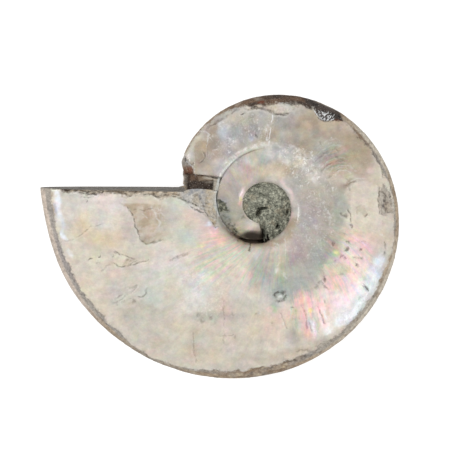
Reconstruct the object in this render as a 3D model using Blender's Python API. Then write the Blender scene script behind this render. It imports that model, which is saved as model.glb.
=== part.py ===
"""A polished fossil ammonite, lying on its side: a coiled shell about 80 mm long.

The shell is a logarithmic spiral. A point on it is given by its phase, the angle turned back from the
mouth, and by its station on the whorl's cross-section, as a share of the whorl's radius. The coil lies
in the XY plane with the mouth at -X facing +Y, then leans to rest on a small ground flat.
"""

import math

import bmesh
import bpy
from mathutils import Matrix, Vector

MM = 0.001

# The spiral: the radius of the outer edge at phase 0, and how much one full turn shrinks it
MOUTH_RADIUS = 50.0 * MM
WHORL_EXPANSION = 2.63
GROWTH = math.log(WHORL_EXPANSION) / (2 * math.pi)

# The whorl's cross-section, as shares of the whorl's radius
HALF_BREADTH = 0.205
CREST = 0.36
WALL_FOOT = 0.20
FLANK_POWER = 1.6
VENTER_POWER = 2.3
SHOULDER_POWER = 5.0
FLANK_STATIONS = (0.60, 0.67, 0.74, 0.81, 0.87, 0.915, 0.951, 0.959, 0.975, 0.990, 0.998, 1.0)
WALL_ROWS = 4
INNER_FLANK_ROWS = 3

# Columns run from the mouth inwards, this far apart in phase, and slant near the mouth to meet its plane
COLUMNS_PER_TURN = 80
STEP = 2 * math.pi / COLUMNS_PER_TURN
SLANTED = 9
INNER_COLUMNS = 22
SINKING = 3

# The sawn mouth, a plane this far from the axis and turned by this much from the XZ plane, and the
# shell's last stretch, which narrows towards it
MOUTH_OFFSET = 2.63 * MM
MOUTH_TURN = 0.015
TUCK = 0.9 * MM
TUCK_PHASE = math.radians(28)

# Wear: the venter stripped of its nacre, the shoulder broken beside the mouth, the chipped earlier whorl
RIM_STATION = 0.955
RIM_LEDGE = 0.25 * MM
BREAK_PHASE = math.radians(22)
CHIP_START = math.radians(331)
CHIP_END = math.radians(342)
CHIP_DEPTH = 0.20
CHIP_THINNING = 0.14

# The umbilicus sits a little off the spiral's axis. It has a flat floor under the matrix that fills it
UMBILICUS_SHIFT = -0.6 * MM
SHIFT_INNER = 15 * MM
SHIFT_OUTER = 36 * MM
FLOOR_HEIGHT = 1.0 * MM
HUB_REACH = 2.0 * MM
HUB_TURN = math.radians(140)

# Sandstone matrix in the umbilicus and in the mouth
GAP = 0.3 * MM
MATRIX_LEVEL = 3.25 * MM
MATRIX_START = math.radians(3)
MATRIX_RINGS = (1.0, 0.8, 0.55, 0.28)
MATRIX_COLUMNS = 44
CREVICE_DEPTH = 0.9 * MM
CREVICE_WIDTH = math.radians(38)
SHELL_WALL = 0.9 * MM
RECESS_DEPTH = 4.0 * MM
RECESS_DRAFT = 0.5 * MM

# How it rests: the way up seen from the coil, and where the coil's centre comes above the resting plane
UP_IN_COIL = Vector((-0.07, 0.065, 1.0)).normalized()
COIL_CENTRE = Vector((9.138, 7.765, 8.72)) * MM
FLOOR_BOX = Vector((120, 120, 20)) * MM

NACRE_COLOUR = (0.66, 0.60, 0.53, 1.0)
MATRIX_COLOUR = (0.20, 0.21, 0.17, 1.0)
FILL_COLOUR = (0.25, 0.24, 0.22, 1.0)


def smooth(value, start, end):
    """0 before start, 1 after end, and a smooth rise between them."""
    share = min(1.0, max(0.0, (value - start) / (end - start)))
    return share * share * (3 - 2 * share)


def whorl_radius(phase):
    """Distance from the coil's axis to the outer edge of the whorl, before its venter is worn."""
    tuck = TUCK * (1 - smooth(phase, 0, TUCK_PHASE))
    return MOUTH_RADIUS * math.exp(-GROWTH * phase) + RIM_LEDGE - tuck


def half_thickness(station):
    """Half the whorl's breadth at a station, as a share of the whorl's radius."""
    if station >= CREST:
        share = (station - CREST) / (1 - CREST)
        return HALF_BREADTH * max(0.0, 1 - share**FLANK_POWER) ** (1 / VENTER_POWER)
    share = min(1.0, (CREST - station) / (CREST - WALL_FOOT))
    return HALF_BREADTH * math.sqrt(1 - share**SHOULDER_POWER)


def seam_station():
    """Where the umbilical wall meets the flank of the whorl before it, found by halving."""
    low, high = WALL_FOOT, CREST
    for _ in range(50):
        middle = (low + high) / 2
        if half_thickness(middle) < half_thickness(middle * WHORL_EXPANSION) / WHORL_EXPANSION:
            low = middle
        else:
            high = middle
    return high


SEAM = seam_station()
COVER = SEAM * WHORL_EXPANSION


def wall_station(height):
    """The station on the umbilical wall that has this half thickness."""
    drop = 1 - (height / HALF_BREADTH) ** 2
    return CREST - (CREST - WALL_FOOT) * drop ** (1 / SHOULDER_POWER)


def section_rows():
    """(station, half thickness) from the seam over the shoulder and the flank to the venter."""
    seam_height = half_thickness(SEAM)
    seam_angle = math.acos(seam_height / HALF_BREADTH)
    rows = [(SEAM, seam_height)]
    for row in range(1, WALL_ROWS):
        height = HALF_BREADTH * math.cos(seam_angle * (1 - row / WALL_ROWS))
        rows.append((wall_station(height), height))
    for row in range(INNER_FLANK_ROWS + 1):
        station = CREST + (COVER - CREST) * row / INNER_FLANK_ROWS
        rows.append((station, half_thickness(station)))
    return rows + [(station, half_thickness(station)) for station in FLANK_STATIONS]


ROWS = section_rows()
CREST_ROW = WALL_ROWS
COVER_ROW = WALL_ROWS + INNER_FLANK_ROWS
VENTER_ROW = len(ROWS) - 1
ROWS_OFF_CHAMBER = (COVER_ROW + 4, VENTER_ROW - 5, VENTER_ROW - 4)
LAST_COLUMN = COLUMNS_PER_TURN + INNER_COLUMNS
FIRST_OPEN = LAST_COLUMN - COLUMNS_PER_TURN


def umbilicus_shift(reach):
    """How far a point this far from the axis sits off the spiral, along Y."""
    return UMBILICUS_SHIFT * (1 - smooth(reach, SHIFT_INNER, SHIFT_OUTER))


def mouth_phase(station, turn):
    """The phase at which a station crosses the plane of the mouth, on whorl number turn."""
    phase = turn * 2 * math.pi
    for _ in range(30):
        reach = whorl_radius(phase) * station
        phase = turn * 2 * math.pi - MOUTH_TURN - math.asin((MOUTH_OFFSET - umbilicus_shift(reach)) / reach)
    return phase


def on_mouth(point):
    """The point moved along Y into the plane of the mouth."""
    return Vector((point.x, MOUTH_OFFSET / math.cos(MOUTH_TURN) - point.x * math.tan(MOUTH_TURN), point.z))


SEAM_PHASE = mouth_phase(SEAM, 0)


def column_phase(column, row):
    """The phase of a grid point: even steps along the seam, slanted near the mouth to lie in its plane."""
    station = ROWS[row][0]
    phase = SEAM_PHASE + column * STEP
    before_stump = COLUMNS_PER_TURN - column
    if column < SLANTED:
        slant = 1 - column / SLANTED
        phase += slant * (mouth_phase(station, 0) - SEAM_PHASE)
    elif 0 <= before_stump < SLANTED and row > COVER_ROW:
        slant = 1 - before_stump / SLANTED
        phase += slant * (mouth_phase(station, 1) - SEAM_PHASE - 2 * math.pi)
    return phase


def worn_section(phase, row):
    """(station, half thickness) of a row after wear, on the whorl at this phase."""
    station, height = ROWS[row]
    if row < CREST_ROW:
        broken = 1 - smooth(phase, SEAM_PHASE, BREAK_PHASE)
        share = row / CREST_ROW
        station += broken * (SEAM + share * (CREST - SEAM) - station)
        height += broken * (ROWS[0][1] + share * (HALF_BREADTH - ROWS[0][1]) - height)
    if row > COVER_ROW and phase > CHIP_START:
        chipped = smooth(phase, CHIP_START, CHIP_END)
        station = COVER + (station - COVER) * (1 - CHIP_DEPTH * chipped)
        height *= 1 - CHIP_THINNING * chipped
    if RIM_STATION < station:
        ledge = RIM_LEDGE / whorl_radius(phase)
        station -= ledge
        height = max(0.0, height - ledge)
    return station, height


def in_coil(phase, station, height, side):
    """A point in the coil's own frame. side is 1 on the upper flank and -1 on the lower."""
    radius = whorl_radius(phase)
    angle = math.pi + phase
    point = Vector((math.cos(angle), math.sin(angle), 0)) * radius * station
    point.z = radius * height * side
    point.y += umbilicus_shift(radius * station)
    return point


def grid_point(column, row, side):
    """A point of the shell's surface grid, worn and in the coil's frame. Where the matrix hides the whorl
    before, the umbilical wall and that whorl both sink to the floor."""
    phase = column_phase(column, row)
    station, height = worn_section(phase, row)
    floor = FLOOR_HEIGHT / whorl_radius(phase)
    if row == 0:
        height += smooth(column, FIRST_OPEN - SINKING, FIRST_OPEN) * (floor - height)
        station = wall_station(height)
    else:
        height += smooth(column, LAST_COLUMN - SINKING, LAST_COLUMN) * (floor - height)
    point = in_coil(phase, station, height, side)
    if column == 0 or column == COLUMNS_PER_TURN and row > COVER_ROW:
        point = on_mouth(point)
    return point


def floor_point(reach, turned, side):
    """A point on the umbilicus's floor, turned from where the floor starts."""
    angle = math.pi + SEAM_PHASE + FIRST_OPEN * STEP + turned
    return Vector((math.cos(angle) * reach, math.sin(angle) * reach + UMBILICUS_SHIFT, FLOOR_HEIGHT * side))


def settle(point):
    """Turns a point of the coil's frame to the resting pose and moves it to its place."""
    return UP_IN_COIL.rotation_difference(Vector((0, 0, 1))) @ point + COIL_CENTRE


def material(name, colour, roughness, coat=0.0):
    made = bpy.data.materials.new(name)
    made.use_nodes = True
    shader = made.node_tree.nodes["Principled BSDF"]
    shader.inputs["Base Color"].default_value = colour
    shader.inputs["Roughness"].default_value = roughness
    shader.inputs["Metallic"].default_value = 0.0
    shader.inputs["Coat Weight"].default_value = coat
    return made


def object_from(name, mesh_data, finish=None):
    """Closes up a bmesh into a named object, shaded smooth with sharp ledges."""
    bmesh.ops.recalc_face_normals(mesh_data, faces=mesh_data.faces)
    mesh = bpy.data.meshes.new(name)
    mesh_data.to_mesh(mesh)
    mesh_data.free()
    mesh.shade_smooth()
    mesh.set_sharp_from_angle(angle=math.radians(40))
    if finish:
        mesh.materials.append(finish)
    made = bpy.data.objects.new(name, mesh)
    bpy.context.scene.collection.objects.link(made)
    return made


def helper(name, mesh_data):
    """A cutter: it shapes another object and isn't part of the fossil."""
    made = object_from(name, mesh_data)
    made.hide_render = True
    made.display_type = "WIRE"
    return made


def cut(target, cutter):
    modifier = target.modifiers.new(cutter.name, "BOOLEAN")
    modifier.operation = "DIFFERENCE"
    modifier.solver = "EXACT"
    modifier.object = cutter


def shell_vertices(mesh_data):
    """The grid's vertices by (side, column, row). The two flanks share the venter, and each seam point
    is also the point where the whorl before it goes under cover."""
    found = {}
    for side in (1, -1):
        for column in range(LAST_COLUMN + 1):
            last_row = VENTER_ROW if column <= COLUMNS_PER_TURN else COVER_ROW
            for row in range(last_row, -1, -1):
                key = (side, column, row)
                covered = (side, column - COLUMNS_PER_TURN, 0)
                if row == VENTER_ROW and side == -1:
                    found[key] = found[(1, column, row)]
                elif row == COVER_ROW and covered in found:
                    found[key] = found[covered]
                else:
                    found[key] = mesh_data.verts.new(settle(grid_point(column, row, side)))
    return found


def shell_faces(mesh_data, vertices):
    """Both flanks, the floors of the umbilicus and the sawn mouth, as one closed skin."""
    for side in (1, -1):
        for column in range(LAST_COLUMN):
            rows = VENTER_ROW if column < COLUMNS_PER_TURN else COVER_ROW
            for row in range(rows):
                corners = ((column, row), (column, row + 1), (column + 1, row + 1), (column + 1, row))
                mesh_data.faces.new([vertices[(side, *corner)] for corner in corners])
        rim = [vertices[(side, column, 0)] for column in range(FIRST_OPEN, LAST_COLUMN + 1)]
        rim += [vertices[(side, LAST_COLUMN, row)] for row in range(1, COVER_ROW)]
        hub = mesh_data.verts.new(settle(floor_point(HUB_REACH, HUB_TURN, side)))
        for first, second in zip(rim, rim[1:] + rim[:1]):
            mesh_data.faces.new((first, second, hub))
    outer = [vertices[(1, 0, row)] for row in range(VENTER_ROW + 1)]
    outer += [vertices[(-1, 0, row)] for row in range(VENTER_ROW - 1, -1, -1)]
    inner = [vertices[(-1, COLUMNS_PER_TURN, row)] for row in range(COVER_ROW + 1, VENTER_ROW + 1)]
    inner += [vertices[(1, COLUMNS_PER_TURN, row)] for row in range(VENTER_ROW - 1, COVER_ROW, -1)]
    mesh_data.faces.new(outer + inner)


def build_shell(finish):
    mesh_data = bmesh.new()
    shell_faces(mesh_data, shell_vertices(mesh_data))
    return object_from("ammonite_shell", mesh_data, finish)


def mouth_outline(inset):
    """The horseshoe of the chamber in the plane of the mouth, this far inside the shell's surfaces."""
    arms = []
    for column, first_row in ((0, CREST_ROW - 1), (COLUMNS_PER_TURN, COVER_ROW + 3)):
        rows = [row for row in range(first_row, VENTER_ROW + 1) if row not in ROWS_OFF_CHAMBER]
        upper = [grid_point(column, row, 1) for row in rows]
        lower = [grid_point(column, row, -1) for row in rows]
        arms.append(upper + lower[-2::-1])
    points = arms[0] + arms[1][::-1]
    moved = []
    for index, point in enumerate(points):
        before = (point - points[index - 1]).normalized()
        after = (points[(index + 1) % len(points)] - point).normalized()
        normals = [Vector((-along.z, 0, along.x)) for along in (before, after)]
        mitre = (normals[0] + normals[1]) / (1 + normals[0].dot(normals[1]))
        moved.append(on_mouth(point + mitre * inset))
    return moved


def prism(mesh_data, top_outline, bottom_outline):
    """A closed solid between two outlines with the same number of points."""
    top = [mesh_data.verts.new(settle(point)) for point in top_outline]
    bottom = [mesh_data.verts.new(settle(point)) for point in bottom_outline]
    mesh_data.faces.new(top)
    mesh_data.faces.new(bottom[::-1])
    for index in range(len(top)):
        following = (index + 1) % len(top)
        mesh_data.faces.new((top[index], bottom[index], bottom[following], top[following]))


def lowered(outline, depth):
    return [point + Vector((0, -depth, 0)) for point in outline]


def recess_cutter():
    """The chamber behind the mouth, which stands out of the mouth's plane to cut it cleanly."""
    mesh_data = bmesh.new()
    top = lowered(mouth_outline(SHELL_WALL), -1 * MM)
    prism(mesh_data, top, lowered(mouth_outline(SHELL_WALL + RECESS_DRAFT), RECESS_DEPTH))
    return helper("chamber_cutter", mesh_data)


def build_mouth_fill(finish):
    mesh_data = bmesh.new()
    inset = SHELL_WALL + GAP
    bottom = lowered(mouth_outline(inset + RECESS_DRAFT), RECESS_DEPTH - GAP)
    prism(mesh_data, mouth_outline(inset), bottom)
    return object_from("mouth_matrix", mesh_data, finish)


def matrix_top(point, turned, side):
    """Height of the sandstone's lumpy face above the coil's mid-plane. turned is the angle past its start."""
    lumps = math.sin(point.x / MM * 1.3 + side) * math.cos(point.y / MM * 1.1 - side)
    crevice = CREVICE_DEPTH * (1 - smooth(turned, 0, CREVICE_WIDTH))
    crevice *= smooth(point.xy.length, 3 * MM, 7 * MM)
    return MATRIX_LEVEL + 0.12 * MM * lumps - crevice


def build_umbilical_matrix(name, side, finish):
    """A disc of sandstone inside the last turn of the umbilical wall, flat below and lumpy above."""
    mesh_data = bmesh.new()
    layers = []
    for share in MATRIX_RINGS + (0,):
        ring = []
        for index in range(MATRIX_COLUMNS + 1):
            turned = MATRIX_START + (2 * math.pi - MATRIX_START) * index / MATRIX_COLUMNS
            phase = SEAM_PHASE + FIRST_OPEN * STEP + turned
            radius = whorl_radius(phase)
            reach = radius * wall_station(FLOOR_HEIGHT / radius) - GAP
            top = floor_point(reach * share, turned, side)
            bottom = top.copy()
            top.z = matrix_top(top, turned, side) * side
            bottom.z = (FLOOR_HEIGHT + GAP) * side
            ring.append((top, bottom))
            if share == 0:
                break
        layers.append([[mesh_data.verts.new(settle(corner)) for corner in pair] for pair in ring])
    hub = layers.pop()[0]
    for index in range(-1, MATRIX_COLUMNS):
        first, second = layers[0][index], layers[0][index + 1]
        mesh_data.faces.new((first[0], first[1], second[1], second[0]))
        for level in (0, 1):
            for outer, inner in zip(layers, layers[1:]):
                corners = (outer[index], outer[index + 1], inner[index + 1], inner[index])
                mesh_data.faces.new([corner[level] for corner in corners])
            last = layers[-1]
            mesh_data.faces.new((last[index][level], last[index + 1][level], hub[level]))
    return object_from(name, mesh_data, finish)


def floor_cutter():
    """Everything below the resting plane: it grinds the small flat that the fossil rests on."""
    mesh_data = bmesh.new()
    place = Matrix.Translation((0, 0, -FLOOR_BOX.z / 2)) @ Matrix.Diagonal((*FLOOR_BOX, 1))
    bmesh.ops.create_cube(mesh_data, size=1, matrix=place)
    return helper("ground_flat_cutter", mesh_data)


def main():
    for old in list(bpy.data.objects):
        bpy.data.objects.remove(old)
    nacre = material("nacre", NACRE_COLOUR, 0.35, coat=0.5)
    sandstone = material("umbilical_sandstone", MATRIX_COLOUR, 0.9)
    mudstone = material("mouth_sandstone", FILL_COLOUR, 0.8)
    shell = build_shell(nacre)
    cut(shell, recess_cutter())
    cut(shell, floor_cutter())
    build_mouth_fill(mudstone)
    build_umbilical_matrix("umbilical_matrix_upper", 1, sandstone)
    build_umbilical_matrix("umbilical_matrix_lower", -1, sandstone)


main()
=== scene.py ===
"""The looks of a polished fossil ammonite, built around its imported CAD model.

The shell is the CAD model's spiral again, on a fine grid that carries the real relief: the worn nacre edges,
chips, cracks, flakes and growth lines. Each vertex also carries painted values that the materials read.
Places on the upper side are given as they are seen from straight above, in picture units of 0.2247 mm.
"""

import math

import bmesh
import bpy
import numpy as np
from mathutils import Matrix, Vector


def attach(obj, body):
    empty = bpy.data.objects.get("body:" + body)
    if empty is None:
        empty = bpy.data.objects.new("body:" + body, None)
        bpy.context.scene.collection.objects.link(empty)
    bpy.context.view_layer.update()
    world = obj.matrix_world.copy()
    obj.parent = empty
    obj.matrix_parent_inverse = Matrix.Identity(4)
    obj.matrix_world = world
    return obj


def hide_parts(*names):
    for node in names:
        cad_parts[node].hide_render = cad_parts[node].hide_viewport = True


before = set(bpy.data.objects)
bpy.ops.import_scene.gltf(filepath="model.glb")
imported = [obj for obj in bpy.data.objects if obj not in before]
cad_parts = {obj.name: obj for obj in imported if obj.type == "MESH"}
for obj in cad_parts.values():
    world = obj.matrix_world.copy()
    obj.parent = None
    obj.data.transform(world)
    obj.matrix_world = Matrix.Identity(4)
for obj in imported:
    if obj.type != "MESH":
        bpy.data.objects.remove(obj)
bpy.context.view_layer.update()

MM = 0.001

# The spiral and its cross-section, as in the CAD model
MOUTH_RADIUS = 50.0 * MM
WHORL_EXPANSION = 2.63
GROWTH = math.log(WHORL_EXPANSION) / (2 * math.pi)
HALF_BREADTH = 0.205
CREST = 0.36
WALL_FOOT = 0.20
FLANK_POWER = 1.6
VENTER_POWER = 2.3
SHOULDER_POWER = 5.0
MOUTH_OFFSET = 2.63 * MM
MOUTH_TURN = 0.015
SLANT_REACH = math.radians(40.5)
TUCK = 0.9 * MM
TUCK_PHASE = math.radians(28)
RIM_LEDGE = 0.25 * MM
BREAK_PHASE = math.radians(22)
CHIP_START = math.radians(331)
CHIP_END = math.radians(342)
CHIP_DEPTH = 0.20
CHIP_THINNING = 0.14
UMBILICUS_SHIFT = -0.6 * MM
SHIFT_INNER = 15 * MM
SHIFT_OUTER = 36 * MM
FLOOR_HEIGHT = 1.0 * MM
UP_IN_COIL = Vector((-0.07, 0.065, 1.0)).normalized()
COIL_CENTRE = np.array((9.138, 7.765, 8.72)) * MM

# The picture's frame: the size of its unit on the object, and where the coil's axis is in it
UNIT = 0.2247 * MM
FRAME_UNITS = 465
AXIS_AT = (260.9, 202.2)
CAMERA_HEIGHT = 0.9
FOCUS_HEIGHT = 9 * MM

# The fine grid. It is closer near the mouth, where the whorl is widest
COLUMNS = 470
COLUMN_CROWDING = 0.6 * GROWTH
HIDDEN_PHASE = math.radians(100)
SINK_PHASE = math.radians(84)
SUNK_PHASE = HIDDEN_PHASE - 0.03
UPPER_ROWS = (12, 20, 98)
LOWER_ROWS = (6, 8, 32)


def smooth(value, start, end):
    """0 before start, 1 after end, and a smooth rise between them."""
    share = np.clip((value - start) / (end - start), 0.0, 1.0)
    return share * share * (3 - 2 * share)


def mix(first, second, share):
    return first + (second - first) * share


# ---------------------------------------------------------------- noise
def lattice(ix, iy, iz, seed):
    """A fixed random number from 0 to 1 at each whole-numbered point."""
    mask = np.int64(0xFFFFFFFF)
    number = (ix * 374761393 + iy * 668265263 + iz * 1440662683 + seed * 1274126177) & mask
    number = ((number ^ (number >> 13)) * 1103515245) & mask
    number = ((number ^ (number >> 16)) * 1274126177) & mask
    return ((number ^ (number >> 15)) & 0xFFFFFF) / float(0xFFFFFF)


def noise(points, size, seed):
    """Smooth noise from -1 to 1 at points of shape (..., 2 or 3), with lumps about this size."""
    scaled = points / size
    cell = np.floor(scaled).astype(np.int64)
    part = scaled - cell
    part = part * part * part * (part * (part * 6 - 15) + 10)
    total = 0.0
    flat = points.shape[-1] == 2
    for corner in range(4 if flat else 8):
        step = (corner & 1, corner >> 1 & 1, corner >> 2 & 1)
        weight = 1.0
        for axis in range(points.shape[-1]):
            weight = weight * (part[..., axis] if step[axis] else 1 - part[..., axis])
        z = 0 if flat else cell[..., 2] + step[2]
        total = total + weight * lattice(cell[..., 0] + step[0], cell[..., 1] + step[1], z, seed)
    return total * 2 - 1


def fractal(points, size, seed, octaves=4):
    total = 0.0
    reach = 0.0
    for octave in range(octaves):
        strength = 0.5**octave
        total = total + strength * noise(points, size / 2**octave, seed + octave * 17)
        reach += strength
    return total / reach


# ---------------------------------------------------------------- the shell's shape
def whorl_radius(phase):
    tuck = TUCK * (1 - smooth(phase, 0, TUCK_PHASE))
    return MOUTH_RADIUS * np.exp(-GROWTH * phase) + RIM_LEDGE - tuck


def half_thickness(station):
    outer = np.clip((station - CREST) / (1 - CREST), 0, 1)
    inner = np.clip((CREST - station) / (CREST - WALL_FOOT), 0, 1)
    flank = (1 - outer**FLANK_POWER) ** (1 / VENTER_POWER)
    wall = np.sqrt(1 - inner**SHOULDER_POWER)
    return HALF_BREADTH * np.where(station >= CREST, flank, wall)


def seam_station():
    low, high = WALL_FOOT, CREST
    for _ in range(50):
        middle = (low + high) / 2
        if half_thickness(middle) < half_thickness(middle * WHORL_EXPANSION) / WHORL_EXPANSION:
            low = middle
        else:
            high = middle
    return high


SEAM = seam_station()
SEAM_HEIGHT = float(half_thickness(SEAM))
COVER = SEAM * WHORL_EXPANSION


def section_rows(wall, inner, outer):
    """Stations and half thicknesses from the seam to the venter, and the rows of the crest and cover."""
    seam_angle = math.acos(SEAM_HEIGHT / HALF_BREADTH)
    angle = np.linspace(seam_angle, 0, wall + 1)[:-1]
    stations = [CREST - (CREST - WALL_FOOT) * np.sin(angle) ** (2 / SHOULDER_POWER)]
    heights = [HALF_BREADTH * np.cos(angle)]
    cover_angle = math.asin(((COVER - CREST) / (1 - CREST)) ** (FLANK_POWER / 2))
    first = np.linspace(0, cover_angle, inner + 1)[:-1]
    second = np.linspace(cover_angle, math.pi / 2, outer + 1)
    angle = np.concatenate((first, second))
    stations.append(CREST + (1 - CREST) * np.sin(angle) ** (2 / FLANK_POWER))
    heights.append(HALF_BREADTH * np.clip(np.cos(angle), 0, 1) ** (2 / VENTER_POWER))
    return np.concatenate(stations), np.concatenate(heights), wall, wall + inner


def umbilicus_shift(reach):
    return UMBILICUS_SHIFT * (1 - smooth(reach, SHIFT_INNER, SHIFT_OUTER))


def mouth_phase(station, turn):
    phase = turn * 2 * math.pi
    for _ in range(30):
        reach = whorl_radius(phase) * station
        phase = turn * 2 * math.pi - MOUTH_TURN - np.arcsin((MOUTH_OFFSET - umbilicus_shift(reach)) / reach)
    return phase


SEAM_PHASE = float(mouth_phase(np.array(SEAM), 0))


def mouth_y(x):
    return MOUTH_OFFSET / math.cos(MOUTH_TURN) - x * math.tan(MOUTH_TURN)


def in_coil(phase, station, height, side):
    radius = whorl_radius(phase)
    reach = radius * station
    angle = math.pi + phase
    y = np.sin(angle) * reach + umbilicus_shift(reach)
    return np.stack((np.cos(angle) * reach, y, radius * height * side), axis=-1)


LEAN = np.array(UP_IN_COIL.rotation_difference(Vector((0, 0, 1))).to_matrix())


def settle(points):
    """From the coil's own frame to the resting pose."""
    return points @ LEAN.T + COIL_CENTRE


CAMERA_AT = (
    COIL_CENTRE[0] + (FRAME_UNITS / 2 - AXIS_AT[0]) * UNIT,
    COIL_CENTRE[1] - (FRAME_UNITS / 2 - AXIS_AT[1]) * UNIT,
)


def seen_at(points):
    """Where a point of the resting pose is seen in the picture, in its units."""
    closer = (CAMERA_HEIGHT - FOCUS_HEIGHT) / (CAMERA_HEIGHT - points[..., 2])
    across = (points[..., 0] - CAMERA_AT[0]) * closer / UNIT + FRAME_UNITS / 2
    down = FRAME_UNITS / 2 - (points[..., 1] - CAMERA_AT[1]) * closer / UNIT
    return np.stack((across, down), axis=-1)


def column_phases():
    """Phases of the columns of the outer turn, then of the turn before it as far as it shows."""
    share = np.linspace(0, 1, COLUMNS + 1)
    full = 1 - math.exp(-COLUMN_CROWDING * 2 * math.pi)
    turn = SEAM_PHASE - np.log(1 - share * full) / COLUMN_CROWDING
    inner = turn[1:][turn[1:] < HIDDEN_PHASE] + 2 * math.pi
    return np.concatenate((turn, inner))


PHASES = column_phases()
INNER = len(PHASES) - 1 - COLUMNS


def block(columns, stations, heights, crest, side):
    """One flank's grid in the coil's frame, with the phase and station of each point."""
    phase = np.repeat(PHASES[columns][:, None], len(stations), axis=1)
    station = np.repeat(stations[None, :], len(columns), axis=0)
    height = np.repeat(heights[None, :], len(columns), axis=0)
    since = (phase - SEAM_PHASE) / SLANT_REACH
    phase = phase + np.clip(1 - since, 0, 1) * (mouth_phase(stations, 0) - SEAM_PHASE)[None, :]
    before = (SEAM_PHASE + 2 * math.pi - PHASES[columns])[:, None] / SLANT_REACH
    stump = np.where((before >= 0) & (station > COVER + 1e-6), np.clip(1 - before, 0, 1), 0)
    phase = phase + stump * (mouth_phase(stations, 1) - SEAM_PHASE - 2 * math.pi)[None, :]

    broken = 1 - smooth(phase, SEAM_PHASE, BREAK_PHASE)
    wall = np.arange(len(stations))[None, :] < crest
    share = np.arange(len(stations))[None, :] / crest
    station = np.where(wall, mix(station, SEAM + share * (CREST - SEAM), broken), station)
    height = np.where(wall, mix(height, SEAM_HEIGHT + share * (HALF_BREADTH - SEAM_HEIGHT), broken), height)

    chipped = np.where(station > COVER, smooth(phase, CHIP_START, CHIP_END), 0)
    station = np.where(chipped > 0, COVER + (station - COVER) * (1 - CHIP_DEPTH * chipped), station)
    height = height * (1 - CHIP_THINNING * chipped)

    floor = FLOOR_HEIGHT / whorl_radius(phase)
    foot = np.arange(len(stations))[None, :] == 0
    sunk = np.where(foot, smooth(phase, SINK_PHASE, SUNK_PHASE), 0)
    sunk = np.maximum(sunk, smooth(phase, SINK_PHASE + 2 * math.pi, SUNK_PHASE + 2 * math.pi))
    height = mix(height, np.minimum(height, floor), sunk)
    return in_coil(phase, station, height, side), phase, station


def grid_normals(points, side):
    along = np.gradient(points, axis=0)
    across = np.gradient(points, axis=1)
    normal = np.cross(along, across)
    normal /= np.linalg.norm(normal, axis=-1, keepdims=True) + 1e-12
    middle = normal[:, points.shape[1] // 3, 2].mean()
    return normal if middle * side > 0 else -normal


# ---------------------------------------------------------------- what is seen where on the upper side
# Colours are named here as they look in the light of the scene
SHADES = {
    "cream": (220, 210, 195), "pale": (226, 221, 211), "white": (238, 236, 232), "sand": (213, 203, 186),
    "honey": (222, 204, 172), "tan": (188, 169, 145), "umber": (150, 128, 106),
    "clay": (219, 203, 188), "dove": (168, 160, 156), "brown": (120, 96, 78),
    "bark": (78, 66, 58), "soot": (44, 38, 32), "slate": (166, 160, 152), "stone": (178, 170, 158),
    "mist": (186, 182, 177), "lilac": (190, 181, 184), "mauve": (186, 162, 164), "sky": (226, 232, 240),
    "ice": (243, 246, 252), "dusk": (172, 178, 196), "mint": (204, 214, 202), "teal": (162, 174, 171),
    "moss": (174, 178, 167), "spring": (196, 224, 168), "lemon": (250, 240, 180), "blush": (240, 208, 202),
    "rose": (255, 206, 208), "flint": (96, 92, 92), "rust": (120, 72, 54),
    "steel": (158, 160, 164), "coral": (255, 210, 194), "petal": (255, 229, 233),
}


# How much of a shade is the surface's own colour: the scene's light and the gloss add the rest
PAINT = 0.74


def linear(shade):
    value = np.array(SHADES[shade]) / 255.0
    return PAINT * np.where(value <= 0.04045, value / 12.92, ((value + 0.055) / 1.055) ** 2.4)


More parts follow.
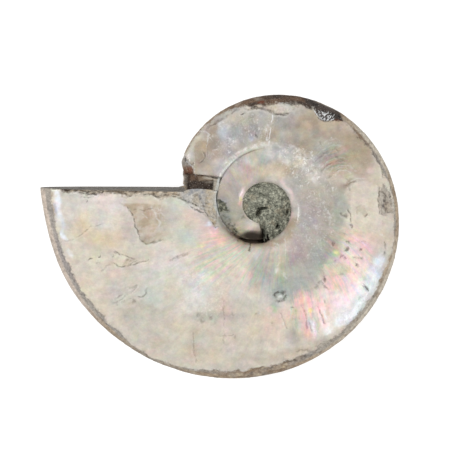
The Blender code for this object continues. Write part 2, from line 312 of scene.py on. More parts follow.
# Soft patches of the nacre's colour, and painted highlights on the rims and umbilical shoulders: shade,
# centre, half width and height, turn in degrees, strength
PATCHES = (
    ("pale", 200, 285, 70, 45, 0, 0.75), ("sand", 205, 345, 70, 26, 0, 0.5),
    ("sand", 125, 325, 34, 22, -40, 0.6), ("moss", 145, 312, 26, 16, 20, 0.35),
    ("pale", 96, 212, 34, 16, 0, 0.6), ("honey", 79, 223, 11, 12, 30, 0.55),
    ("honey", 106, 239, 17, 9, 0, 0.7), ("petal", 109, 202, 18, 9, 20, 0.3),
    ("lilac", 132, 231, 11, 12, 0, 0.35), ("tan", 153, 213, 12, 14, 10, 0.25),
    ("lilac", 166, 222, 11, 14, 0, 0.3), ("sand", 140, 205, 18, 8, 0, 0.6),
    ("sand", 150, 235, 16, 8, -10, 0.5), ("mint", 182, 203, 14, 9, 0, 0.6),
    ("blush", 196, 217, 14, 8, 20, 0.35), ("mint", 186, 237, 20, 8, -8, 0.6),
    ("blush", 207, 231, 10, 8, 0, 0.7), ("cream", 90, 268, 26, 20, 0, 0.6),
    ("blush", 114, 273, 10, 4, -8, 0.35), ("mauve", 124, 268, 8, 4, -10, 0.3),
    ("sand", 132, 259, 22, 6, -12, 0.75), ("mint", 152, 296, 14, 9, 30, 0.5),
    ("lilac", 112, 293, 15, 9, -30, 0.2), ("mint", 160, 270, 24, 8, -20, 0.4),
    ("white", 199, 290, 12, 18, 30, 0.5), ("petal", 160, 262, 24, 6, -12, 0.3),
    ("honey", 172, 300, 16, 8, -40, 0.3), ("tan", 158, 341, 14, 7, 20, 0.4),
    ("sand", 240, 330, 40, 24, 0, 0.5), ("blush", 225, 315, 6, 24, 0, 0.45),
    ("mist", 205, 318, 26, 5, 0, 0.45), ("slate", 226, 316, 22, 4, 0, 0.35),
    ("pale", 250, 262, 22, 22, 0, 0.5), ("tan", 195, 342, 6, 16, 0, 0.35),
    ("moss", 262, 268, 10, 22, 25, 0.55), ("teal", 268, 282, 16, 14, 0, 0.5),
    ("teal", 287, 290, 17, 10, -10, 0.8), ("moss", 300, 272, 20, 20, -30, 0.85),
    ("mist", 312, 240, 22, 44, 0, 0.85), ("mist", 300, 205, 14, 36, 0, 0.6),
    ("mauve", 300, 252, 10, 13, 0, 0.5), ("mauve", 313, 216, 9, 22, -15, 0.42),
    ("moss", 326, 262, 16, 22, -25, 0.7), ("stone", 330, 225, 10, 34, 0, 0.7),
    ("teal", 340, 218, 5, 16, 0, 0.5), ("sand", 366, 204, 13, 26, 0, 1.0),
    ("moss", 341, 206, 6, 20, 0, 0.75), ("cream", 366, 226, 13, 9, 0, 0.8),
    ("cream", 377, 236, 9, 22, 0, 0.75), ("coral", 361, 239, 15, 9, 5, 0.45),
    ("petal", 360, 238, 10, 6, 5, 0.5), ("petal", 352, 256, 20, 14, -15, 0.55),
    ("petal", 350, 262, 16, 12, 0, 0.5), ("petal", 346, 286, 20, 16, -40, 0.8),
    ("petal", 342, 290, 20, 17, -40, 0.95), ("coral", 334, 281, 10, 9, 0, 0.55),
    ("sand", 338, 269, 13, 6, 0, 0.8), ("petal", 366, 268, 8, 12, -30, 0.7),
    ("rose", 311, 305, 14, 11, 10, 0.6), ("petal", 316, 300, 12, 10, 10, 0.5),
    ("coral", 303, 299, 8, 6, 0, 0.6), ("petal", 324, 318, 8, 18, -15, 0.6),
    ("rose", 306, 322, 5, 13, -12, 0.6), ("coral", 282, 318, 5, 10, -20, 0.35),
    # Painted highlights along the lower right rim: the sky and ice patches in these lines
    ("sky", 312, 325, 3, 10, -10, 0.6), ("sky", 372, 278, 8, 26, 22, 0.85),
    ("sky", 353, 312, 9, 20, 48, 0.9), ("mint", 357, 303, 5, 12, 40, 0.5), ("ice", 380, 262, 4, 7, 10, 0.9),
    ("ice", 377, 279, 4, 6, 15, 0.9), ("ice", 352, 314, 4, 9, 50, 0.7), ("cream", 340, 328, 12, 6, 40, 0.6),
    ("slate", 294, 337, 7, 9, 0, 0.6), ("mauve", 291, 339, 5, 6, 0, 0.4),
    ("cream", 321, 342, 10, 6, -20, 1.0), ("pale", 268, 348, 40, 12, 0, 0.4),
    ("blush", 272, 330, 9, 16, 0, 0.4), ("mist", 245, 304, 20, 4, 0, 0.3),
    ("teal", 275, 306, 5, 6, 30, 0.55), ("spring", 336, 253, 4, 4, 0, 0.85),
    ("spring", 330, 262, 3, 4, 30, 0.5), ("spring", 274, 309, 3, 4, -30, 0.6),
    ("lemon", 311, 310, 2.2, 2.4, 0, 1.0), ("lemon", 336, 252, 2.2, 1.6, 0, 0.8),
    ("rose", 270, 309, 4, 3, 0, 0.5), ("mist", 235, 138, 34, 30, 0, 0.9),
    ("tan", 209, 148, 13, 19, 20, 0.6), ("honey", 208, 146, 10, 15, 20, 0.3),
    ("tan", 218, 132, 6, 12, 20, 0.4), ("sand", 192, 148, 7, 26, 22, 0.7),
    ("tan", 203, 152, 8, 14, 10, 0.7), ("honey", 200, 146, 6, 10, 10, 0.4),
    ("umber", 213, 145, 7, 11, 10, 0.5), ("tan", 215, 127, 3.5, 7, 10, 0.4),
    ("tan", 205, 130, 8, 7, 0, 0.1), ("lilac", 226, 160, 16, 14, 0, 0.6),
    ("mist", 250, 126, 16, 12, 0, 0.6), ("pale", 226, 130, 6, 9, 0, 0.35),
    ("dusk", 251, 137, 3, 4, 0, 0.55), ("mauve", 254, 134, 3, 3, 0, 0.5), ("moss", 246, 123, 6, 4, 0, 0.5),
    ("stone", 290, 134, 30, 24, 0, 0.9), ("tan", 322, 138, 30, 22, 20, 0.7),
    ("umber", 336, 162, 22, 11, 12, 0.5), ("stone", 300, 118, 16, 9, 10, 0.5),
    ("moss", 331, 150, 9, 7, 0, 0.35), ("mist", 312, 165, 14, 14, 30, 0.7),
    ("moss", 318, 152, 10, 10, 0, 0.4), ("spring", 348, 175, 5, 3, -20, 0.2),
    ("umber", 346, 184, 9, 3, -28, 0.6), ("tan", 366, 165, 10, 14, 0, 0.5),
    ("umber", 360, 138, 5, 6, 0, 0.7), ("petal", 371, 171, 4, 3, 0, 0.4),
    ("stone", 316, 195, 24, 18, 0, 0.6), ("pale", 314, 178, 8, 5, 10, 0.55),
    ("mist", 332, 190, 10, 10, 0, 0.5), ("cream", 285, 166, 24, 13, -8, 0.75),
    ("tan", 284, 168, 9, 5, 0, 0.5), ("lilac", 250, 165, 13, 12, 0, 0.85), ("dusk", 256, 160, 7, 7, 0, 0.5),
    ("dusk", 250, 161, 4, 4, 0, 0.5), ("mauve", 249, 169, 4, 5, 0, 0.4), ("mist", 229, 190, 12, 24, 8, 0.8),
    ("lilac", 224, 186, 4, 10, 10, 0.5), ("mint", 257, 158, 12, 9, 0, 0.5),
    ("moss", 232, 220, 12, 14, -40, 0.6), ("pale", 248, 226, 10, 6, 20, 0.9),
    ("blush", 250, 229, 7, 3, 10, 0.4), ("mist", 241, 214, 3, 5, 0, 0.5),
    # Painted highlights on the umbilical shoulders: petal, lemon and rose at the left, blush, white and coral
    # at the right
    ("mist", 294, 188, 9, 18, 20, 0.5), ("petal", 242, 197, 2.6, 9, 8, 0.95),
    ("lemon", 240.5, 199, 1.6, 2.4, 0, 0.9), ("rose", 239.5, 203, 1.6, 2.5, 0, 0.6),
    ("blush", 287.5, 189, 2.6, 13, -28, 0.95), ("white", 285, 188, 2, 7, -35, 0.8),
    ("blush", 291, 212, 1.8, 13, 5, 0.7), ("coral", 288, 226, 2, 8, 30, 0.35),
    ("coral", 272, 242, 12, 2, -22, 0.35), ("tan", 290, 229, 5, 12, 25, 0.85),
    ("tan", 277, 241, 11, 4, -22, 0.7), ("tan", 302, 350, 28, 5, -16, 0.45),
    # Painted highlights on the shoulder below the umbilicus, then on the left rim: the white, ice, rose,
    # coral, lemon and sky patches
    ("tan", 258, 356, 22, 5, 0, 0.35), ("white", 198.5, 209.5, 8, 2.6, 38, 0.9),
    ("ice", 209.5, 224, 2.6, 2.4, 30, 0.9), ("rose", 215, 231, 4.5, 4, 35, 0.95),
    ("ice", 216, 228, 1.8, 1.6, 0, 0.8), ("coral", 221, 240, 8, 4, 15, 0.8),
    ("rose", 212, 238, 6, 3, 10, 0.6), ("lemon", 205, 245, 6, 2, -20, 0.5),
    ("ice", 56.5, 203, 3.2, 9, -8, 0.95), ("ice", 63, 234, 2.4, 6, -22, 0.9),
    ("sky", 59, 219, 2.6, 8, -14, 0.6), ("white", 70, 254, 2.4, 5, -30, 0.6),
)


# Lines on the nacre: half width, strength, then the points that each runs through. Both flanks have these
SHARED_LINES = (
    (1.6, 0.35, (196, 314), (203, 316)), (1.5, 0.35, (208, 318), (214, 317)),
    (1.4, 0.3, (231, 312), (235, 316)), (1.8, 0.3, (199, 318), (206, 322)),
    (0.8, 0.32, (112, 304), (122, 299), (132, 291), (139, 284)),
    (0.8, 0.3, (120, 303), (130, 299), (138, 296)), (0.9, 0.25, (171, 262), (180, 257), (188, 254)),
    (0.8, 0.35, (320, 173), (328, 165), (338, 161), (348, 161)),
    (0.8, 0.35, (314, 163), (324, 153), (336, 148)), (1.0, 0.5, (345, 187), (350, 184), (357, 181.4)),
    (0.8, 0.3, (326, 180), (336, 171), (345, 168)),
)

# The upper flank's lines, with the cracks beside the mouth first
LINES = (
    (1.5, 0.85, (62, 188.8), (66, 190.2), (70.5, 192.4)),
    (0.9, 0.9, (70, 191.2), (77, 190.9), (83, 191.4), (90, 193.2)),
    (0.9, 0.9, (90, 192.6), (97, 193.8), (104, 191.8), (110, 190.8), (118, 191.6), (126, 192.2)),
    (1.3, 0.9, (126, 192.2), (128, 195.2), (130.6, 195.8), (132, 193)),
    (0.9, 0.85, (133, 192.8), (139, 192.4), (145, 191.9)),
    (1.0, 0.9, (151, 192.3), (154, 195), (157, 197.2), (162, 196), (169.6, 194.4)),
    (0.8, 0.8, (170, 193.8), (176, 194.2), (181, 195.4)),
) + SHARED_LINES + (
    (0.8, 0.62, (118, 203.6), (123, 205), (128, 208.5), (131, 213), (134, 219), (135, 225), (138, 232),
     (140, 238.5), (144, 243)),
    (0.9, 0.50, (143, 242.5), (147, 244), (155, 242), (164, 239.3)),
    (0.7, 0.40, (129, 209.6), (137, 209), (144, 210.6), (149, 209), (156, 206.4)),
    (0.7, 0.35, (63, 241), (71, 240.4), (77.7, 236.6), (85, 231.6), (90, 226.5), (97, 225.6), (103, 222)),
    (0.7, 0.75, (88, 261.2), (90, 259.2), (93.6, 258.3)), (0.7, 0.75, (97.3, 258.2), (101.6, 256.2)),
    (0.9, 0.4, (95, 263), (101, 263)),
    (0.7, 0.62, (112.8, 251.6), (117, 252.3), (120, 254.6), (128, 256.4), (134, 258.8)),
    (0.9, 0.6, (112.6, 256), (113.6, 257)),
    (0.8, 0.58, (112.6, 262), (115, 263.4), (118.4, 266.4), (121.4, 267), (129, 265.4), (140, 262.4),
     (149.6, 259.2)),
    (1.0, 0.45, (124, 264.5), (127, 260.5), (130, 257.8)),
    (1.1, 0.32, (128, 262.5), (132, 259.8), (136, 259)),
    (1.2, 0.45, (169, 260.8), (174, 258.6), (180, 255), (190, 252.8)),
    (0.9, 0.3, (100, 272), (109, 264), (113, 262)), (1.0, 0.38, (114, 300.5), (120, 296), (124, 294)),
    (1.1, 0.42, (127, 290.6), (132, 287.6), (139, 284)),
    (1.0, 0.5, (147.4, 286), (147, 290), (145, 294), (141, 297), (136, 298.6)),
    (1.8, 0.42, (115, 303.6), (119, 305)), (2.2, 0.5, (131, 301), (137, 301.6)),
    (0.8, 0.32, (193, 331), (194, 352), (197, 364)), (0.9, 0.25, (223.6, 299), (224.3, 324), (223, 345)),
    (0.7, 0.3, (216, 335.6), (227, 336), (235, 334)),
    (0.8, 0.85, (251, 240.5), (250.2, 247), (248.6, 252.8)), (1.0, 0.6, (237.6, 239), (238.2, 242.5)),
    (0.9, 0.5, (349.6, 184), (350, 192)), (0.9, 0.6, (347, 208), (350.4, 213), (351, 224), (352, 230)),
    (0.8, 0.4, (378, 186), (378.6, 200)), (0.8, 0.45, (379.5, 213.6), (388, 215.6)),
    (0.9, 0.6, (364, 217), (368, 214.6), (370, 216)), (1.3, 0.6, (345, 241.4), (351, 242.4)),
    (1.2, 0.42, (357, 241.3), (367, 241.8)), (2.2, 0.8, (343.6, 248), (350, 250.4)),
    (1.7, 0.7, (358.8, 248.8), (362.6, 249.8)), (2.0, 0.6, (339, 256), (348, 258.4)),
    (1.5, 0.55, (352, 258.2), (364, 257.8)), (1.8, 0.75, (354.6, 264.8), (359.4, 265.6)),
    (1.4, 0.35, (339.6, 272.6), (345, 273.6)), (1.5, 0.55, (352.6, 273), (356.4, 272.6)),
    (1.8, 0.7, (322.4, 272.6), (323.4, 279), (327, 282)), (1.7, 0.65, (314, 286), (319, 287.2)),
    (1.4, 0.55, (322, 285), (330, 290)), (1.3, 0.4, (333, 262), (337, 260)),
    (1.5, 0.4, (320, 281), (318, 284)), (1.4, 0.5, (331, 243), (335, 244.6)),
    (1.2, 0.4, (343, 235), (347, 234)), (1.7, 0.85, (274, 298), (276, 294.6), (280, 292.6), (287, 291.4)),
    (1.6, 0.75, (275, 300.6), (280, 301.4), (284, 299.4), (287.6, 294)),
    (2.4, 0.95, (365, 289.6), (368, 286.6)), (1.2, 0.7, (360.6, 295.4), (360, 301)),
    (1.4, 0.65, (376.6, 293), (372, 299)), (1.3, 0.75, (324.6, 298.6), (324.8, 304)),
    (1.0, 0.5, (317, 304), (320, 310), (322, 318), (325, 326)),
    (0.9, 0.4, (309, 318), (311, 328), (313, 334)), (0.9, 0.35, (301, 304), (306, 314), (307, 330)),
    (1.5, 0.5, (290, 307), (294, 309.6)), (0.8, 0.35, (278, 308), (283, 318), (287, 330)),
    (1.1, 0.75, (244, 106.8), (248, 109.6), (255, 107.8), (262, 107.6), (268, 110.6), (275, 113.4),
     (285, 114), (290, 112.6)),
    (0.9, 0.4, (291, 112), (295, 107.6), (300, 106)),
    (1.0, 0.4, (205, 131), (210, 126), (218, 121.5), (226, 117), (234, 111), (241, 107.8)),
    (0.7, 0.62, (203, 151), (205, 156.4), (203.6, 160.6), (199, 163.6)),
    (0.6, 0.35, (207.2, 141), (207.8, 150), (207.4, 158)), (1.5, 1.0, (242.9, 113.3), (243.5, 114.6)),
    (0.9, 0.3, (344.5, 178), (350, 182), (353.7, 186)),
    (1.0, 0.6, (373.6, 153.5), (381, 165.7), (384.3, 179.5)),
    (0.9, 0.55, (379.7, 186), (378.4, 199.4), (380, 214.7)), (1.4, 0.6, (381, 190), (386, 195), (384, 203)),
    (1.2, 0.5, (384, 206), (388, 212)), (1.0, 0.55, (385, 240), (385.5, 249), (384, 256)),
    (1.5, 0.9, (86.2, 201.3), (87.6, 201.7)), (1.6, 0.55, (282, 360), (288, 361), (298, 361)),
    (1.3, 0.5, (271.6, 320.6), (273, 324)), (1.6, 0.4, (233, 337.6), (236, 338)),
    (1.1, 0.75, (231.8, 226.4), (235, 223.4)), (2.0, 0.55, (242.6, 215), (244, 219)),
    (1.6, 0.7, (213.4, 217.6), (215, 216)), (0.9, 0.45, (262, 241), (268, 241.6), (274, 239)),
    (1.2, 0.6, (340, 212), (347, 217), (349, 214)),
    (0.8, 0.9, (66, 191.6), (72, 191), (77, 190.2), (84, 191.6), (92, 191.4)),
    (0.7, 0.85, (76, 192.4), (84, 193.4), (93, 194.2), (104, 194.6)),
    (0.7, 0.6, (79, 197.4), (90, 197.2), (95, 196)),
    (0.8, 0.8, (112, 193.6), (120, 192.8), (127, 194.2), (132, 195.8)),
    (0.7, 0.6, (140, 194.6), (152, 194), (157, 197.6), (163, 196)),
    (0.7, 0.55, (166, 194.6), (172, 193.6), (178, 195)),
    (0.8, 0.75, (171, 196.4), (180, 198.2), (184.6, 200.4), (189, 203.6)),
    (0.8, 0.7, (190, 206.6), (196, 209.6), (203, 213.4), (208, 217.6)),
    (1.0, 0.8, (192, 203), (196, 204.4), (200, 206)), (0.9, 0.6, (254, 134), (258, 138)),
    (0.9, 0.35, (300, 153), (306, 158), (312, 160)), (1.8, 0.4, (294, 352), (306, 349), (311, 350)),
    (1.4, 0.35, (318, 355), (300, 358)), (1.2, 0.35, (262, 312), (254, 314)),
    (0.9, 0.4, (333, 152), (338, 158), (345, 160)), (0.9, 0.35, (334, 147), (341, 152)),
    (1.0, 0.3, (319, 140), (322, 146)),
)

# White veins and scratches: half width, strength, points
VEINS = (
    (1.1, 0.4, (150, 205), (155, 212), (160, 222), (158, 230)),
    (0.9, 0.4, (163, 204), (160, 212), (166, 217)), (0.8, 0.35, (141, 212), (148, 219)),
    (0.8, 0.28, (318, 171), (326, 163), (336, 158), (346, 158)),
    (0.8, 0.25, (325, 177), (333, 168), (342, 165), (350, 167), (358, 172)),
    (0.9, 0.35, (333, 178), (340, 170), (346, 170), (352, 174)),
    (0.7, 0.2, (312, 160), (322, 150), (334, 145), (344, 146)),
    (0.7, 0.2, (316, 150), (326, 141), (338, 138)), (0.8, 0.3, (344, 184), (356, 179), (366, 178)),
    (0.5, 0.95, (272.4, 112), (272.8, 118), (271.4, 124)),
    (0.45, 0.8, (270.8, 127), (269.6, 137), (268.4, 147)), (0.9, 0.7, (265.8, 126), (266, 134), (268, 142)),
    (1.2, 0.45, (267, 128), (269, 124)), (0.9, 0.5, (197, 130), (206, 132), (212, 136), (216, 137)),
    (0.8, 0.45, (207.5, 131), (207.6, 140), (206.4, 150)), (1.2, 0.6, (305, 154), (307, 159), (304, 162)),
    (1.0, 0.5, (311, 150), (312.6, 158)), (2.0, 0.75, (312, 181), (316, 178.6), (319, 181)),
    (1.3, 0.6, (308, 182.4), (309, 183.4)),
    (0.9, 0.5, (318.6, 226.4), (316, 226), (316, 229), (319, 229.6)), (0.9, 0.45, (303, 240), (311, 240.8)),
    (1.2, 0.5, (276, 262), (277, 270), (275, 275)), (1.2, 0.4, (324, 208), (331, 215), (329, 226)),
    (0.7, 0.35, (285, 236), (286, 262)), (1.5, 0.7, (379, 236), (385, 234.6)),
    (1.0, 0.4, (170, 268), (180, 262)), (1.1, 0.4, (282, 272), (288, 280)),
    (1.4, 0.6, (277, 296), (283, 295)), (1.6, 0.6, (254, 216.6), (249, 220)),
    (1.7, 0.85, (321, 305), (325, 311), (327, 319)), (1.5, 0.8, (311, 319), (312.6, 327), (313, 334)),
    (1.6, 0.6, (257, 313.4), (262, 313.6)), (1.3, 0.5, (283, 321), (285, 326)),
    (0.9, 0.6, (182.6, 156), (186, 162), (193, 167.4)), (1.1, 0.55, (194.2, 168), (194, 179)),
    (1.2, 0.5, (206, 206.4), (199, 207), (209, 214)),
    (1.0, 0.55, (222, 173), (228, 166), (234, 161), (243, 155)),
    (1.3, 0.5, (225, 122), (219, 124), (224, 130)), (1.0, 0.4, (228, 138), (232, 142)),
    (1.3, 0.45, (330.6, 137.6), (331.6, 138.6)), (1.6, 0.45, (320, 199), (326, 204)),
    (1.4, 0.4, (312, 164), (321, 168)), (1.4, 0.5, (302, 166), (313, 174)),
    (1.3, 0.5, (295, 156), (306, 160)), (1.3, 0.4, (344, 167), (352, 165)),
    (0.9, 1.0, (219.8, 177.5), (217.8, 184), (216.7, 192), (216.4, 200), (217.2, 209), (219.6, 218)),
    (0.8, 0.5, (221, 220), (226, 227), (233, 233)), (0.8, 0.5, (273, 242), (280, 246)),
    (1.0, 0.4, (271, 246), (276, 249)),
)

# Sutures like ferns in the chip at the top, white on the dark stone
SUTURES = tuple((0.36, 1.9, *ray) for ray in (
    ((318, 117), (315.5, 111)), ((319.5, 119), (318.5, 112)), ((322, 121), (321.5, 113)),
    ((324.5, 121.5), (326, 111)), ((327, 121.5), (331, 113)), ((330, 121), (336, 117)),
    ((325, 116), (322.5, 109.5)), ((328, 117), (329.5, 109)), ((316, 113), (312.5, 108)),
    ((331.5, 118), (335.5, 113)), ((321, 116), (319, 108.5)),
))

# The chip in the venter at the top and the worn patch at the right, where stone shows
CHIP = (
    (305, 97), (306, 101), (309, 103.4), (313, 104.6), (314.6, 108), (316, 113), (318.6, 117), (321.6, 121),
    (326, 122), (331, 120.6), (337, 121), (343.6, 120.6), (341, 114), (334, 106), (324, 99),
)
SIDE_PATCH = (
    (384, 184), (387.6, 189), (390, 194), (392, 203), (393, 212), (389, 213.6), (382, 213), (382, 206),
    (379, 200), (380, 194), (382, 190),
)

# Cracks of the hidden flank
LOWER_LINES = SHARED_LINES + (
    (0.8, 0.6, (92, 262), (104, 250), (121, 244), (139, 247), (150, 240)),
    (0.8, 0.5, (140, 300), (158, 296), (171, 303)),
    (0.8, 0.6, (211, 320), (224, 331), (238, 330), (249, 341)),
    (1.0, 0.5, (288, 310), (301, 322), (306, 334)), (0.7, 0.5, (331, 284), (345, 276), (360, 279)),
    (0.9, 0.6, (341, 190), (349, 205), (346, 219), (352, 231)),
    (0.8, 0.5, (300, 121), (311, 132), (309, 144)), (0.8, 0.5, (231, 116), (243, 124), (247, 137)),
    (0.8, 0.6, (70, 214), (84, 221), (99, 219)), (1.2, 0.4, (180, 270), (197, 281), (210, 279)),
    (0.9, 0.5, (262, 282), (268, 296), (279, 303)),
)

# Outlines of flakes, which have a clear edge: brown where a layer is lost, cream where one lies on top
SCALED = (
    (119, 204), (128, 208.5), (131, 213), (135, 222), (138, 232), (142, 241.5), (147, 244), (163, 240),
    (171, 231), (177, 222), (178, 212), (172, 206), (160, 204), (140, 203),
)
LOST_LAYERS = (
    ((196, 143), (201, 141), (207, 141), (207.4, 150), (204.6, 157), (199, 164.6), (195, 160),
     (193.6, 152)),
    ((206, 131), (211, 124.6), (216, 122), (218.4, 128), (217.6, 134), (211, 137.6), (207, 135)),
    ((356, 206), (360, 204.6), (364.6, 206), (366, 210), (368, 214), (364, 217), (362, 213), (359, 211.4),
     (357, 215.6), (355.6, 212)),
)
PLATES = (
    ((350, 184), (352, 190), (349.4, 212), (350, 224), (352, 230), (364, 231), (379, 229), (387, 216),
     (380, 214), (378, 200), (379, 187), (366, 180)),
    ((244, 106), (255, 104.6), (262, 103), (272, 104), (283, 103.6), (300, 105.4), (296, 107.6),
     (292, 111.4), (286, 114), (279, 113.8), (271, 112), (265, 108.6), (256, 108), (250, 109.6)),
    ((325, 264), (337, 263.4), (351, 265), (351, 272.6), (338, 274), (327, 275.6), (323, 270)),
    ((189.6, 203), (196, 205.4), (200, 202.8), (204, 206), (207, 212), (209, 217), (199, 212), (193, 208)),
    ((112.8, 256), (117, 252.8), (127, 256.6), (124, 262), (121, 266.6), (113, 262)),
)

# How wide the nacre is worn off along the venter, as (phase in degrees, picture units)
RIM_WIDTH = (
    (-4, 10.8), (12, 10.2), (25, 9.0), (33, 8.2), (42, 8.4), (48, 5.0), (55, 4.2), (62, 5.0), (70, 8.5),
    (78, 10.5), (90, 11.0), (100, 11.5), (110, 11.0), (122, 10.0), (135, 9.5), (150, 8.5), (160, 7.0),
    (172, 6.5), (185, 6.0), (193, 6.5), (200, 8.0), (206, 7.4), (212, 8.6), (218, 7.4), (223, 6.4),
    (229, 7.0), (236, 7.5), (241, 8.0), (246, 9.0), (252, 9.4), (258, 9.4), (266, 9.2), (274, 9.6),
    (280, 6.5), (287, 3.5), (300, 2.2), (320, 2.0), (345, 2.0),
)

# The colour of the worn venter, outer strip and inner strip, along the phase
RIM_SHADES = (
    (-10, "clay", "stone"), (14, "clay", "dove"), (30, "clay", "slate"), (40, "tan", "slate"),
    (55, "stone", "slate"), (70, "tan", "stone"), (85, "umber", "umber"), (96, "umber", "umber"),
    (108, "tan", "slate"), (125, "sand", "stone"), (140, "sand", "stone"), (155, "sand", "tan"),
    (168, "tan", "slate"), (185, "tan", "slate"), (200, "sand", "slate"), (216, "sand", "umber"),
    (225, "tan", "umber"), (231, "brown", "bark"), (240, "bark", "bark"), (252, "brown", "bark"),
    (262, "bark", "brown"), (276, "brown", "bark"), (283, "brown", "umber"), (292, "umber", "umber"),
    (345, "tan", "tan"),
)

# Where the nacre ends below the sawn mouth, as (across, down)
MOUTH_EDGE = (
    (38, 188.5), (52, 189), (60, 190), (65, 193), (72, 192.6), (76, 191.6), (82, 193), (92, 194.4),
    (104, 194.2), (112, 193), (118, 194.4), (123, 196.4), (127, 197.2), (140, 195.4), (152, 195.4),
    (157.5, 197.4), (159.5, 200), (165.5, 198), (171, 196.6), (175.6, 196.6), (180.3, 198), (184.3, 200),
    (188, 203), (194, 204), (199, 207), (204, 211), (209, 216), (212, 221), (215, 228),
)


# Soft ellipses, each as (strength, bend, x, y, half width, half height, turn, start, end of the fade).
# Where the growth lines are iridescent: below the umbilicus and along the pink zone
FAN = (
    (1.0, 0, 222, 254, 46, 26, -38, 0.5, 1.15), (0.8, 0, 262, 266, 36, 28),
    (1.0, 0, 308, 312, 24, 28, -10, 0.6), (0.8, 0, 348, 264, 30, 44, 0, 0.6), (0.8, 0, 338, 160, 20, 16),
    (0.5, 0, 245, 168, 26, 20, -30),
)
# Bright spots where the nacre faces the light
GLINTS = (
    (1.0, 1.5, 56.8, 195.5, 3.2, 6.0, -6, 0.6), (1.0, 1.5, 58, 211.5, 2.4, 5.0, -20, 0.6),
    (1.0, 0, 62.6, 236, 1.8, 4.6, -35, 0.6), (0.6, 0, 69, 252, 2.0, 5, -30, 0.6),
    (1.0, 0, 380, 262, 3.6, 6.5, 8, 0.6), (0.9, 0, 374, 276, 3.4, 7, 25, 0.6),
    (0.8, 0, 373, 288, 4, 4, 0, 0.6), (0.7, 0, 360, 281, 3.4, 5.6, 0, 0.6),
    (0.9, 0, 357, 308, 3, 13, 32, 0.6), (0.8, 0, 341, 321, 5, 9, 62, 0.6),
    (0.6, 0, 328, 331, 4, 6, 40, 0.6),
)
# Scuffed nacre with fine pale scratches, and its palest part
FROSTED = (
    (1.0, 4, 304, 166, 38, 17, 27), (0.8, 4, 318, 186, 22, 14, 20), (0.5, 0, 312, 220, 26, 50),
    (0.6, 0, 240, 140, 40, 24, -30), (0.6, 0, 374, 276, 7, 26, 22), (0.6, 0, 352, 312, 8, 20, 48),
    (0.35, 0, 204, 292, 30, 30),
)
FROST = ((1.0, 3, 286, 156, 26, 8, 20), (1.0, 3, 312, 174, 16, 9, 50))
# Rusty places on the venter, and pale ones in the stump's groove
RUST = ((1.0, 1, 339, 121, 5.5, 2.6, 12, 0.6), (1.0, 1, 261, 101.6, 4, 1.7, -15, 0.6, 1.3))
CREAM_BITS = ((1.0, 1, 207.5, 179.8, 6, 1.7, 4, 0.6, 1.3), (0.3, 1, 209, 184.2, 5, 1.2, 0, 0.6, 1.3))
# Holes in the upper sandstone
PITS = (
    (1.0, 0, 258.4, 213.0, 2.6, 4.6, 15, 0.4), (0.9, 0, 262.5, 208.4, 6, 1.6, -4, 0.4),
    (0.8, 0, 277.5, 226.5, 1.5, 2.6, 20, 0.4), (0.7, 0, 263, 236, 3, 4.5, 10, 0.4),
    (0.6, 0, 287.6, 212.5, 1.6, 3.4, 10, 0.4), (0.5, 0, 263, 231, 2.4, 2.4, 10, 0.4),
)

# The matrix band beside the seam and the crevice below, which is sunk and painted dark as shadow: (degrees,
# width)
SEAM_BAND = ((-12, 0), (-5, 10.0), (8, 12.5), (14, 9.0), (30, 7.0), (50, 5.0), (62, 3.5), (72, 0))
CREVICE_WIDTH = ((46, 0), (56, 0.4), (64, 0.8), (72, 1.2), (82, 1.4), (92, 1.2), (100, 0.1))
# The pale left edge of the inner whorl
LIT_EDGE = ((219.4, 177.5), (217.3, 184), (216.1, 192), (215.8, 200), (216.8, 209), (219.0, 215))

# Where the turn before the outer whorl begins, in degrees, and a signed distance that is far outside
EARLIER = 340
OUTSIDE = -9.0
# Patches smaller than this keep a sharper edge; the lower flank reads other parts of the same noise
SMALL_PATCH = 6
LOWER_SHIFT = 900
# The channel of line marks that holds the white veins and sutures, after the dark lines' channels
WHITE_CHANNEL = 3


def polyline_distance(at, points):
    """Distance from each place to a polyline, in picture units."""
    best = np.full(at.shape[:-1], 1e9)
    for start, end in zip(points[:-1], points[1:]):
        start = np.array(start, float)
        along = np.array(end, float) - start
        share = np.clip(((at - start) @ along) / (along @ along), 0, 1)
        nearest = start + share[..., None] * along
        best = np.minimum(best, np.linalg.norm(at - nearest, axis=-1))
    return best


